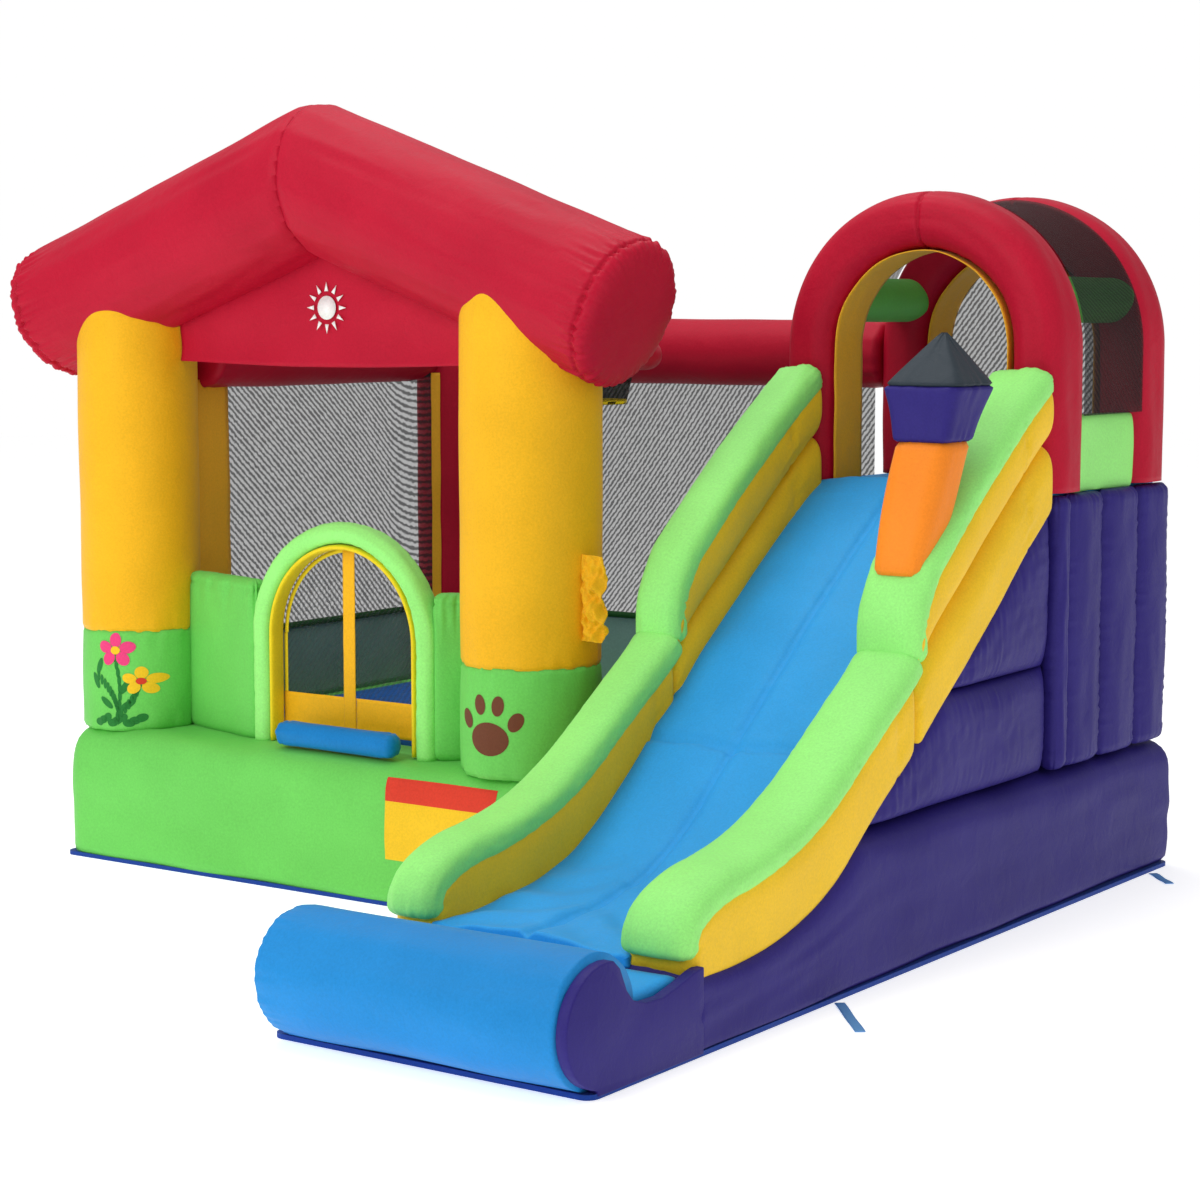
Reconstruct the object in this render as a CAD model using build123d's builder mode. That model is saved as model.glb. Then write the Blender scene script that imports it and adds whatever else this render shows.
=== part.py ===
"""Inflatable bounce house with a slide: sewn air chambers, mesh walls and a two-leaf mesh door.

Lengths are millimetres. The design is laid out from the front left corner of the house base:
x to the right along the house front, y to the back, z up. at() moves a laid-out point to the
part's own frame, whose origin is on the ground under the middle of the whole part.
"""

import os
from math import cos, radians, sin, sqrt, tan

from build123d import *

# ---- Driving dimensions -------------------------------------------------------------------
SKIN = 3.0  # wall of every hollow air chamber
SEAM = 2.0  # room left between two chambers that are sewn together
SHEET = 4.0  # ground sheet and mesh thickness
DOME_SWELL = 5.0  # how far the end of a domed tube swells past its profile's end point

LEFT_END, RIGHT_END = -319.4, 2939.4  # left roof cap, tip of the right front anchor strap
FRONT_END, REAR_END = -1300.0, 1921.0  # splash roll, mouth of the air inlet sleeve
ORIGIN_X = (LEFT_END + RIGHT_END) / 2
ORIGIN_Y = (FRONT_END + REAR_END) / 2

HOUSE_LEFT, HOUSE_RIGHT, HOUSE_DEPTH = -90.0, 1800.0, 1800.0
BEAM_WIDTH, BEAM_TOP, BEAM_RADIUS = 380.0, 400.0, 70.0
FLOOR_TOP = 430.0

POST_Y = 200.0
LEFT_POST_X, LEFT_POST_DIAMETER = 62.0, 360.0
RIGHT_POST_X, RIGHT_POST_DIAMETER = 1545.0, 392.0
BAND_TOP = 700.0
REAR_POST_X, REAR_POST_Y, REAR_POST_DIAMETER = 200.0, 1580.0, 260.0

ROOF_RADIUS, ROOF_PITCH, ROOF_RUN, ROOF_DOME = 205.0, 20.0, 1040.0, 60.0
RIDGE_X, RIDGE_AXIS_Z = 805.0, 2030.0
GABLE_BOTTOM = 1495.0
TOP_TUBE_RADIUS, TOP_TUBE_Z = 105.0, 1520.0
LEFT_WALL_X, REAR_WALL_Y = 150.0, 1650.0
LOWER_WALL_TOP = 645.0

DOOR_X, DOOR_SPRING_Z = 913.5, 717.0
DOOR_FRONT, DOOR_BACK = 120.0, 200.0
DOOR_OUTER, DOOR_INNER, DOOR_TRIM_INNER, DOOR_LEAF_RADIUS = 335.0, 277.0, 260.0, 264.0
DOOR_SILL_Z = 420.0
PANEL_SETBACK = 105.0  # how far the panels beside the door slant back to the posts
PANEL_TOP = 870.0
LEAF_BACK, LEAF_THICKNESS, LEAF_SPLIT_X = 195.0, 6.0, 926.0

HOOP_CENTRE, HOOP_RADIUS, HOOP_TUBE = (1470.0, 600.0, 1530.0), 155.0, 42.5

SLIDE_LEFT, SLIDE_RIGHT, SLIDE_FRONT, SLIDE_BACK = 1842.0, 2745.0, -800.0, 1800.0
LANE_LEFT, LANE_RIGHT = 2006.0, 2536.0
BUMPER_LEFT_X, BUMPER_RIGHT_X = (1860.0, 2003.0), (2539.0, 2730.0)
BODY_LEFT, BODY_RIGHT = 1905.0, 2675.0
BASE_TOP = 388.0
BODY_FLAT, PLATFORM_TOP = 1118.0, 1165.0
PLATFORM_FRONT = 1002.0
CROWN = 48.0  # height of the green pad over the seam of a bumper
# (y, z) lines along the slide: where the bumpers stand, the bed, and the yellow/green seams.
UNDERLINE = [(-800, 196), (-570, 190), (-310, 240), (-160, 308), (-50, 390), (80, 480), (280, 610),
             (390, 690), (520, 785), (680, 900), (790, 1000), (965, 1121)]
BED_LINE = [(-800, 212), (-550, 222), (-300, 262), (-120, 362), (60, 505), (250, 655), (445, 815),
            (650, 960), (860, 1105), (998, 1172)]
LOWER_SEAM = [(-796, 262), (-760, 310), (-650, 352), (-540, 365), (-350, 405), (-170, 490), (10, 610),
              (190, 727), (236, 765)]
UPPER_SEAM = [(240, 876), (310, 984), (480, 1120), (710, 1290), (900, 1415), (998, 1470)]

ARCH_X, ARCH_SPRING_Z = 2291.0, 1550.0
ARCH_OUTER, ARCH_INNER, ARCH_LINING = 439.0, 279.0, 5.0
ARCH_DEPTH = 206.0
FRONT_ARCH_Y, REAR_ARCH_Y = 1002.0, 1557.0
CROSS_TUBE_RADIUS, CROSS_TUBE_Z = 65.0, 1685.0

ROLL_Y, ROLL_Z, ROLL_RADIUS = -1150.0, 155.0, 150.0
ROLL_LEFT, ROLL_RIGHT = 1850.0, 2712.0

STRAP_WIDTH, STRAP_THICKNESS = 25.0, 3.0
INLET_X, INLET_Z, INLET_RADIUS, INLET_LENGTH = 420.0, 180.0, 75.0, 120.0
ZIPPER_X, ZIPPER_Z, ZIPPER_LENGTH = 900.0, 200.0, 300.0

os.makedirs("parts", exist_ok=True)


# ---- Helpers ------------------------------------------------------------------------------
def at(x, y, z):
    """A laid-out point in the part's own frame."""
    return (x - ORIGIN_X, y - ORIGIN_Y, z)


def save(piece, label):
    """Label a finished piece and write it as its own STEP file."""
    piece.part.label = label
    export_step(piece.part, f"parts/{label}.step")


def side_plane(x):
    """A sketch plane facing +x, where sketch (u, v) is laid-out (y, z)."""
    return Plane(origin=at(x, 0, 0), x_dir=(0, 1, 0), z_dir=(1, 0, 0))


def front_plane(y):
    """A sketch plane facing -y, where sketch (u, v) is laid-out (x, z)."""
    return Plane(origin=at(0, y, 0), x_dir=(1, 0, 0), z_dir=(0, -1, 0))


def middle(low, high):
    """The centre of the box between two laid-out corners, in the part's frame."""
    return at(*[(a + b) / 2 for a, b in zip(low, high)])


def block(low, high):
    """A plain sheet or block between two laid-out corners."""
    with BuildPart() as sheet:
        with Locations(middle(low, high)):
            Box(*[b - a for a, b in zip(low, high)])
    return sheet


def pillow(low, high, radius):
    """A box-shaped air chamber with rounded edges, hollow inside its skin."""
    size = [b - a for a, b in zip(low, high)]
    with BuildPart() as air:
        with Locations(middle(low, high)):
            Box(*[side - 2 * SKIN for side in size])
        fillet(air.edges(), radius - SKIN)
    with BuildPart() as chamber:
        with Locations(middle(low, high)):
            Box(*size)
        fillet(chamber.edges(), radius)
        add(air.part, mode=Mode.SUBTRACT)
    return chamber


def profile_chamber(outline, x_low, x_high, radius=0.0):
    """An air chamber with a (y, z) outline, extruded along x; the two end rims are rounded."""
    with BuildPart() as air:
        with BuildSketch(side_plane(x_low + SKIN)):
            with BuildLine():
                Polyline(*outline, close=True)
            make_face()
            offset(amount=-SKIN, kind=Kind.INTERSECTION, mode=Mode.REPLACE)
        extrude(amount=x_high - x_low - 2 * SKIN)
        if radius:
            chamfer(air.faces().filter_by(Axis.X).edges(), radius - SKIN / 2)
    with BuildPart() as chamber:
        with BuildSketch(side_plane(x_low)):
            with BuildLine():
                Polyline(*outline, close=True)
            make_face()
        extrude(amount=x_high - x_low)
        if radius:
            chamfer(chamber.faces().filter_by(Axis.X).edges(), radius)
        add(air.part, mode=Mode.SUBTRACT)
    return chamber


def pad(outline, x_low, x_high):
    """A thin pad with a (y, z) outline, solid through, extruded along x."""
    with BuildPart() as piece:
        with BuildSketch(side_plane(x_low)):
            with BuildLine():
                Polyline(*outline, close=True)
            make_face()
        extrude(amount=x_high - x_low)
    return piece


def domed_tube(plane, low, high, radius, dome):
    """A solid round tube along the plane's x from low to high, domed at both ends."""
    with BuildPart() as solid:
        with BuildSketch(plane):
            with BuildLine():
                Spline((low, 0), (low + dome, radius), tangents=((0, 1), (1, 0)))
                Line((low + dome, radius), (high - dome, radius))
                Spline((high - dome, radius), (high, 0), tangents=((1, 0), (0, -1)))
                Line((high, 0), (low, 0))
            make_face()
        revolve(axis=Axis(plane.origin, plane.x_dir))
    return solid.part


def tube(start, length, radius, direction, dome):
    """A hollow round tube along direction from start, with a shallow dome at each end."""
    along = Vector(*direction)
    across = Vector(0, 0, 1) if abs(along.Z) < 0.9 else Vector(1, 0, 0)
    plane = Plane(origin=at(*start), x_dir=along, z_dir=along.cross(across))
    outside = domed_tube(plane, DOME_SWELL, length - DOME_SWELL, radius, dome)
    air = domed_tube(plane, DOME_SWELL + SKIN, length - DOME_SWELL - SKIN, radius - SKIN, dome)
    with BuildPart() as chamber:
        add(outside)
        add(air, mode=Mode.SUBTRACT)
    return chamber


def arch_face(plane, centre_x, spring_z, radius, bottom):
    """The face of an upright arch: straight legs up to the spring line, then a half round."""
    with BuildSketch(plane) as face:
        with BuildLine():
            Polyline((centre_x - radius, spring_z), (centre_x - radius, bottom), (centre_x + radius, bottom),
                     (centre_x + radius, spring_z))
            ThreePointArc((centre_x + radius, spring_z), (centre_x, spring_z + radius),
                          (centre_x - radius, spring_z))
        make_face()
    return face.sketch


def arch_band(centre_x, spring_z, outer, inner, bottom, y_front, y_back):
    """An upright arch band between two radii, open at the bottom, from y_front to y_back."""
    plane = front_plane(y_back)
    with BuildPart() as band:
        extrude(arch_face(plane, centre_x, spring_z, outer, bottom), amount=y_back - y_front)
        extrude(arch_face(plane, centre_x, spring_z, inner, bottom - 1), amount=y_back - y_front,
                mode=Mode.SUBTRACT)
    return band


# ---- House base and floor -----------------------------------------------------------------
def make_base():
    """Ground sheet, four base beams, the bouncing floor and the webs inside it."""
    with BuildPart() as ground_sheet:
        with Locations(middle((HOUSE_LEFT, 0, 0), (SLIDE_LEFT - 1, HOUSE_DEPTH, SHEET))):
            Box(SLIDE_LEFT - 1 - HOUSE_LEFT, HOUSE_DEPTH, SHEET)
        with Locations(middle((SLIDE_LEFT, ROLL_Y - 60, 0), (SLIDE_RIGHT, SLIDE_BACK, SHEET))):
            Box(SLIDE_RIGHT - SLIDE_LEFT, SLIDE_BACK - ROLL_Y + 60, SHEET)
    save(ground_sheet, "ground_sheet")

    bottom, inner_left, inner_right = SHEET, HOUSE_LEFT + BEAM_WIDTH, HOUSE_RIGHT - BEAM_WIDTH
    inner_front, inner_back = BEAM_WIDTH + 1, HOUSE_DEPTH - BEAM_WIDTH - 1
    beams = {
        "base_front": ((HOUSE_LEFT, 0, bottom), (HOUSE_RIGHT, BEAM_WIDTH, BEAM_TOP)),
        "base_rear": ((HOUSE_LEFT, HOUSE_DEPTH - BEAM_WIDTH, bottom), (HOUSE_RIGHT, HOUSE_DEPTH, BEAM_TOP)),
        "base_left": ((HOUSE_LEFT, inner_front, bottom), (inner_left, inner_back, BEAM_TOP)),
        "base_right": ((inner_right, inner_front, bottom), (HOUSE_RIGHT, inner_back, BEAM_TOP)),
    }
    for label, (low, high) in beams.items():
        save(pillow(low, high, BEAM_RADIUS), label)

    floor_low = (inner_left + 1, inner_front, bottom)
    floor_high = (inner_right - 1, inner_back, FLOOR_TOP)
    save(pillow(floor_low, floor_high, 30), "bounce_floor")

    web_count = 4
    with BuildPart() as inner_baffles:
        for index in range(web_count):
            x = inner_left + (index + 1) * (inner_right - inner_left) / (web_count + 1)
            low = (x - 2, inner_front + 40, bottom + SKIN + 1)
            high = (x + 2, inner_back - 40, FLOOR_TOP - SKIN - 1)
            with Locations(middle(low, high)):
                Box(*[b - a for a, b in zip(low, high)])
        for x in (LANE_LEFT + 130, (LANE_LEFT + LANE_RIGHT) / 2, LANE_RIGHT - 130):
            low, high = (x - 2, 500, BASE_TOP + 12), (x + 2, 1700, 740)
            with Locations(middle(low, high)):
                Box(*[b - a for a, b in zip(low, high)])
    save(inner_baffles, "inner_baffles")


# ---- Posts and roof -----------------------------------------------------------------------
def roof_axis_z(x):
    """Height of the roof tubes' axis over a laid-out x."""
    return RIDGE_AXIS_Z - abs(x - RIDGE_X) * tan(radians(ROOF_PITCH))


def roof_solid(side, radius, gap):
    """One roof tube from the mitre at the ridge to its domed end; side is -1 left, +1 right."""
    along = Vector(side * cos(radians(ROOF_PITCH)), 0, -sin(radians(ROOF_PITCH)))
    plane = Plane(origin=at(RIDGE_X, POST_Y, RIDGE_AXIS_Z), x_dir=along, z_dir=along.cross(Vector(0, 0, 1)))
    shrink = ROOF_RADIUS - radius
    end = ROOF_RUN / cos(radians(ROOF_PITCH)) - max(shrink, 0)
    with BuildPart() as solid:
        with BuildSketch(plane):
            with BuildLine():
                Polyline((end + ROOF_DOME, 0), (-ROOF_RADIUS, 0), (-ROOF_RADIUS, radius), (end - 30, radius))
                Spline((end - 30, radius), (end + 0.45 * ROOF_DOME, 0.8 * radius), (end + ROOF_DOME, 0),
                       tangents=((1, 0), (0, -1)))
            make_face()
        revolve(axis=Axis(plane.origin, along))
        split(bisect_by=Plane(origin=at(RIDGE_X + side * gap, 0, 0), z_dir=(side, 0, 0)), keep=Keep.TOP)
    return solid


def make_roof():
    """Two roof tubes, mitred at the ridge, and the gable panel under them."""
    cutters = []
    for side, label in ((-1, "roof_tube_left"), (1, "roof_tube_right")):
        air = roof_solid(side, ROOF_RADIUS - SKIN, SEAM / 2 + SKIN)
        roof_tube = roof_solid(side, ROOF_RADIUS, SEAM / 2)
        with roof_tube:
            add(air.part, mode=Mode.SUBTRACT)
        save(roof_tube, label)
        cutters.append(roof_solid(side, ROOF_RADIUS + SEAM, 0).part)

    left, right = LEFT_POST_X + LEFT_POST_DIAMETER / 2, RIGHT_POST_X - RIGHT_POST_DIAMETER / 2
    with BuildPart() as gable_panel:
        with BuildSketch(front_plane(POST_Y + 3)):
            with BuildLine():
                Polyline((left + 3, GABLE_BOTTOM), (right - 3, GABLE_BOTTOM), (right - 3, roof_axis_z(right)),
                         (RIDGE_X, RIDGE_AXIS_Z), (left + 3, roof_axis_z(left)), close=True)
            make_face()
        extrude(amount=6)
        for cutter in cutters:
            add(cutter, mode=Mode.SUBTRACT)
    save(gable_panel, "gable_panel")


def make_posts():
    """Front posts whose tops are scalloped to the roof tubes, their bands, and the rear post."""
    with BuildPart() as post_bands:
        for x, diameter in ((LEFT_POST_X, LEFT_POST_DIAMETER), (RIGHT_POST_X, RIGHT_POST_DIAMETER)):
            with BuildSketch(Plane(at(x, POST_Y, BEAM_TOP + SEAM))):
                Circle(diameter / 2)
            extrude(amount=BAND_TOP - BEAM_TOP - 2 * SEAM)
        for x, diameter in ((LEFT_POST_X, LEFT_POST_DIAMETER), (RIGHT_POST_X, RIGHT_POST_DIAMETER)):
            with BuildSketch(Plane(at(x, POST_Y, BEAM_TOP + SEAM + SKIN))):
                Circle(diameter / 2 - SKIN)
            extrude(amount=BAND_TOP - BEAM_TOP - 2 * SEAM - 2 * SKIN, mode=Mode.SUBTRACT)
    save(post_bands, "post_bands")

    posts = (
        (LEFT_POST_X, LEFT_POST_DIAMETER, -1, "post_front_left"),
        (RIGHT_POST_X, RIGHT_POST_DIAMETER, 1, "post_front_right"),
    )
    for x, diameter, side, label in posts:
        top = roof_axis_z(x) - 15
        with BuildPart() as air:
            with BuildSketch(Plane(at(x, POST_Y, BAND_TOP + SKIN))):
                Circle(diameter / 2 - SKIN)
            extrude(amount=top - BAND_TOP - SKIN)
            add(roof_solid(side, ROOF_RADIUS + SEAM + SKIN, 0).part, mode=Mode.SUBTRACT)
        with BuildPart() as post:
            with BuildSketch(Plane(at(x, POST_Y, BAND_TOP))):
                Circle(diameter / 2)
            extrude(amount=top - BAND_TOP)
            add(roof_solid(side, ROOF_RADIUS + SEAM, 0).part, mode=Mode.SUBTRACT)
            add(air.part, mode=Mode.SUBTRACT)
        save(post, label)

    rear_top = TOP_TUBE_Z + 1.1 * TOP_TUBE_RADIUS
    rear_start = (REAR_POST_X, REAR_POST_Y, BEAM_TOP + SEAM)
    rear_length = rear_top - BEAM_TOP - SEAM
    save(tube(rear_start, rear_length, REAR_POST_DIAMETER / 2, (0, 0, 1), 40), "post_rear_left")


def make_walls():
    """Top tubes, mesh walls, lower wall panels and the two green panels beside the door."""
    front = POST_Y + LEFT_POST_DIAMETER / 2
    rear = REAR_POST_Y - REAR_POST_DIAMETER / 2
    tube_left = REAR_POST_X + REAR_POST_DIAMETER / 2
    save(tube((LEFT_WALL_X, front + 2, TOP_TUBE_Z), rear - front - 4, TOP_TUBE_RADIUS, (0, 1, 0), 30),
         "left_top_tube")
    save(tube((tube_left + 2, REAR_WALL_Y, TOP_TUBE_Z), ARCH_X - ARCH_OUTER - tube_left - 4,
              TOP_TUBE_RADIUS, (1, 0, 0), 30), "rear_top_tube")

    half, mesh_top = SHEET / 2, TOP_TUBE_Z - TOP_TUBE_RADIUS - 2
    save(block((LEFT_WALL_X - half, front, LOWER_WALL_TOP + 2), (LEFT_WALL_X + half, rear - 2, mesh_top)),
         "left_mesh_wall")
    save(block((tube_left + 2, REAR_WALL_Y - half, LOWER_WALL_TOP + 2),
               (HOUSE_RIGHT, REAR_WALL_Y + half, mesh_top)), "rear_mesh_wall")

    with BuildPart() as lower_walls:
        for low, high in (
            ((LEFT_WALL_X - 5, front, BEAM_TOP + 2), (LEFT_WALL_X + 5, rear - 2, LOWER_WALL_TOP)),
            ((tube_left + 2, REAR_WALL_Y - 5, BEAM_TOP + 2), (HOUSE_RIGHT, REAR_WALL_Y + 5, LOWER_WALL_TOP)),
        ):
            with Locations(middle(low, high)):
                Box(*[b - a for a, b in zip(low, high)])
    save(lower_walls, "lower_walls")

    left_post_face = LEFT_POST_X + LEFT_POST_DIAMETER / 2 + 2
    right_post_face = RIGHT_POST_X - RIGHT_POST_DIAMETER / 2 - 2
    arch_left, arch_right = DOOR_X - DOOR_OUTER - 2, DOOR_X + DOOR_OUTER + 2
    depth = DOOR_BACK - DOOR_FRONT
    with BuildPart() as front_panels:
        for x_post, x_arch, setback in ((left_post_face, arch_left, PANEL_SETBACK),
                                        (right_post_face, arch_right, PANEL_SETBACK - 20)):
            with BuildSketch(Plane.XY.offset(BEAM_TOP + 2)):
                with BuildLine():
                    Polyline(at(x_post, DOOR_FRONT + setback, 0), at(x_arch, DOOR_FRONT, 0),
                             at(x_arch, DOOR_BACK, 0), at(x_post, DOOR_FRONT + setback + depth, 0), close=True)
                make_face()
            extrude(amount=PANEL_TOP - BEAM_TOP - 2)
        fillet(front_panels.faces().sort_by(Axis.Z)[-2:].edges().sort_by(SortBy.LENGTH)[-4:], 30)
    save(front_panels, "front_panels")


# ---- Door ---------------------------------------------------------------------------------
def make_door():
    """Inflated arch, bound opening, entry bolster and two mesh leaves meeting at a placket."""
    door_arch = arch_band(DOOR_X, DOOR_SPRING_Z, DOOR_OUTER, DOOR_INNER, BEAM_TOP + 2, DOOR_FRONT, DOOR_BACK)
    save(door_arch, "door_arch")

    trim_front, trim_back = DOOR_FRONT + 10, LEAF_BACK - LEAF_THICKNESS - 4
    plane = front_plane(trim_back)
    with BuildPart() as door_trim:
        extrude(arch_face(plane, DOOR_X, DOOR_SPRING_Z, DOOR_INNER - 2, BEAM_TOP + 3),
                amount=trim_back - trim_front)
        extrude(arch_face(plane, DOOR_X, DOOR_SPRING_Z, DOOR_TRIM_INNER, DOOR_SILL_Z),
                amount=trim_back - trim_front, mode=Mode.SUBTRACT)
    save(door_trim, "door_trim")

    for label, x_low, x_high in (
        ("door_leaf_left", DOOR_X - DOOR_LEAF_RADIUS, LEAF_SPLIT_X - 1),
        ("door_leaf_right", LEAF_SPLIT_X + 1, DOOR_X + DOOR_LEAF_RADIUS),
    ):
        leaf_low, leaf_high = FLOOR_TOP + 8, DOOR_SPRING_Z + DOOR_LEAF_RADIUS
        low, high = (x_low, LEAF_BACK - LEAF_THICKNESS - 1, leaf_low), (x_high, LEAF_BACK + 1, leaf_high + 1)
        with BuildPart() as leaf:
            extrude(arch_face(front_plane(LEAF_BACK), DOOR_X, DOOR_SPRING_Z, DOOR_LEAF_RADIUS, leaf_low),
                    amount=LEAF_THICKNESS)
            with Locations(middle(low, high)):
                Box(*[b - a for a, b in zip(low, high)], mode=Mode.INTERSECT)
        save(leaf, label)

    save(tube((720, 79, 440), 450, 36, (1, 0, 0), 24), "entry_step")


# ---- Basketball ring and gusset -----------------------------------------------------------
def make_hoop():
    """Inflated ring sewn to the right post, its net, and the gusset between post and slide."""
    x, y, z = HOOP_CENTRE
    with BuildPart() as hoop_ring:
        with Locations(at(x, y, z)):
            Torus(HOOP_RADIUS, HOOP_TUBE)
            Torus(HOOP_RADIUS, HOOP_TUBE - SKIN, mode=Mode.SUBTRACT)
    save(hoop_ring, "hoop_ring")

    net_top, net_bottom = 122.0, 96.0
    with BuildPart() as hoop_net:
        with BuildSketch(Plane(origin=at(x, y, z), x_dir=(1, 0, 0), z_dir=(0, -1, 0))):
            with BuildLine():
                Polyline((net_top, -HOOP_TUBE + 8), (net_bottom, -140), (net_bottom - 3, -140),
                         (net_top - 3, -HOOP_TUBE + 8), close=True)
            make_face()
        revolve(axis=Axis(at(x, y, z), (0, 0, 1)))
    save(hoop_net, "hoop_net")

    right_of_post = RIGHT_POST_X + RIGHT_POST_DIAMETER / 2
    save(block((right_of_post + 2, POST_Y - 3, 770), (BUMPER_LEFT_X[0] - 2, POST_Y + 3, 1006)), "gusset_panel")


# ---- Slide --------------------------------------------------------------------------------
def lowered(line, drop):
    """A (y, z) line moved down by drop."""
    return [(y, z - drop) for y, z in line]


def make_slide_body():
    """The slide's base, its wedge-shaped body, bed, platform and sewn side panels."""
    base_line = [point for point in UNDERLINE if point[1] < BASE_TOP]
    base_outline = [(SLIDE_FRONT, SHEET)] + lowered(base_line, 4) + [(-50, BASE_TOP - 2)]
    base_outline += [(SLIDE_BACK, BASE_TOP - 2), (SLIDE_BACK, SHEET)]
    save(profile_chamber(base_outline, SLIDE_LEFT, SLIDE_RIGHT, 26), "slide_base")

    body_line = [point for point in UNDERLINE if point[1] > BASE_TOP + 20]
    body_outline = [(-40, BASE_TOP)] + lowered(body_line, 3) + [(SLIDE_BACK - 5, BODY_FLAT)]
    body_outline += [(SLIDE_BACK - 5, BASE_TOP)]
    save(profile_chamber(body_outline, BODY_LEFT, BODY_RIGHT), "slide_body")

    bed_under = lowered(UNDERLINE, 1) + [(998, 1122)]
    save(pad(BED_LINE + bed_under[::-1], LANE_LEFT, LANE_RIGHT), "slide_bed")
    save(block((BODY_LEFT + 5, PLATFORM_FRONT, BODY_FLAT + 3), (BODY_RIGHT - 5, SLIDE_BACK - 5, PLATFORM_TOP)),
         "platform")

    lower_panel = [(-30, BASE_TOP + 4)] + lowered([p for p in UNDERLINE if 400 < p[1] < 680], 5)
    lower_panel += [(382, 678), (1028, 678), (1028, BASE_TOP + 4)]
    upper_panel = [(392, 683)] + lowered([p for p in UNDERLINE if p[1] > 700], 5) + [(998, 1140), (1028, 1150)]
    upper_panel += [(1028, 683)]
    for label, x_low in (("side_panels_right", BODY_RIGHT + 3), ("side_panels_left", SLIDE_LEFT)):
        with BuildPart() as side_panels:
            for outline in (lower_panel, upper_panel):
                with BuildSketch(side_plane(x_low)):
                    with BuildLine():
                        Polyline(*outline, close=True)
                    make_face()
                extrude(amount=60)
        save(side_panels, label)

    with BuildPart() as side_ribs_right:
        for y_low, y_high in ((1032, 1108), (1112, 1338), (1342, 1578), (1582, 1792)):
            low, high = (BODY_RIGHT + 3, y_low, BASE_TOP + 4), (BODY_RIGHT + 63, y_high, 1150)
            with Locations(middle(low, high)):
                Box(*[b - a for a, b in zip(low, high)])
        fillet(side_ribs_right.faces().sort_by(Axis.X)[-4:].edges(), 22)
    save(side_ribs_right, "side_ribs_right")

    with BuildPart() as climbing_wall:
        low, high = (SLIDE_LEFT - 36, 1034, BEAM_TOP + 3), (SLIDE_LEFT - 2, 1560, 1150)
        with Locations(middle(low, high)):
            Box(*[b - a for a, b in zip(low, high)])
        for row, z in enumerate((560, 740, 920, 1070)):
            for y in (1150, 1390):
                grip_low = (SLIDE_LEFT - 70, y + 60 * (row % 2), z)
                grip_high = (SLIDE_LEFT - 35, y + 60 * (row % 2) + 110, z + 36)
                with Locations(middle(grip_low, grip_high)):
                    Box(*[b - a for a, b in zip(grip_low, grip_high)])
    save(climbing_wall, "climbing_wall")


def make_bumpers():
    """Side bumpers in a lower and an upper section: yellow sides under a crowned green top."""
    lower_under = [point for point in UNDERLINE if point[0] < 236] + [(236, 581)]
    upper_under = [(240, 584)] + [point for point in UNDERLINE if point[0] > 240] + [(998, 1150)]
    lower_side = lower_under + LOWER_SEAM[::-1]
    upper_side = upper_under + UPPER_SEAM[::-1]
    lower_top = [(y, z + 1.5) for y, z in LOWER_SEAM] + [(236, 765 + CROWN)]
    lower_top += [(y - 14, z + CROWN) for y, z in LOWER_SEAM[-2:0:-1]] + [(-803, 285)]
    upper_top = [(y, z + 1.5) for y, z in UPPER_SEAM] + [(998, 1470 + CROWN)]
    upper_top += [(y - 24, z + CROWN) for y, z in UPPER_SEAM[-2:0:-1]] + [(222, 925), (226, 876)]
    for name, (x_low, x_high) in (("left", BUMPER_LEFT_X), ("right", BUMPER_RIGHT_X)):
        with BuildPart() as sides:
            for outline in (lower_side, upper_side):
                with BuildSketch(side_plane(x_low)):
                    with BuildLine():
                        Polyline(*outline, close=True)
                    make_face()
                extrude(amount=x_high - x_low)
        save(sides, f"bumper_{name}_sides")
        with BuildPart() as tops:
            for outline in (lower_top, upper_top):
                with BuildSketch(side_plane(x_low)):
                    with BuildLine():
                        Polyline(*outline, close=True)
                    make_face()
                extrude(amount=x_high - x_low)
        save(tops, f"bumper_{name}_tops")
    return upper_top


def make_landing():
    """Splash roll, the landing pad behind it and the purple cap at its right end."""
    roll = tube((ROLL_LEFT, ROLL_Y, ROLL_Z), ROLL_RIGHT - ROLL_LEFT, ROLL_RADIUS, (1, 0, 0), 45)
    save(roll, "splash_roll")

    with BuildPart() as landing_pad:
        low, high = (SLIDE_LEFT + 8, ROLL_Y + 60, SHEET + 1), (ROLL_RIGHT - 10, SLIDE_FRONT - 3, 186)
        with Locations(middle(low, high)):
            Box(*[b - a for a, b in zip(low, high)])
        with BuildSketch(side_plane(SLIDE_LEFT)):
            with Locations((ROLL_Y, ROLL_Z)):
                Circle(ROLL_RADIUS + 3)
        extrude(amount=SLIDE_RIGHT - SLIDE_LEFT, mode=Mode.SUBTRACT)
    save(landing_pad, "landing_pad")

    with BuildPart() as roll_end_cap:
        with BuildSketch(side_plane(ROLL_RIGHT + 3)):
            with BuildLine():
                bottom, nose = (ROLL_Y - 30, SHEET + 1), (ROLL_Y - 148, 150)
                top = (ROLL_Y - 37, 290)
                dip, corner = (ROLL_Y + 93, 186), (SLIDE_FRONT - 4, 200)
                Spline(bottom, nose, top, tangents=((-1, 0), (0.9, 0.1)))
                Spline(top, dip, corner, tangents=((0.9, 0.1), (1, 0.1)))
                Polyline(corner, (SLIDE_FRONT - 4, SHEET + 1), bottom)
            make_face()
        extrude(amount=SLIDE_RIGHT - ROLL_RIGHT - 3)
    save(roll_end_cap, "roll_end_cap")


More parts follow.
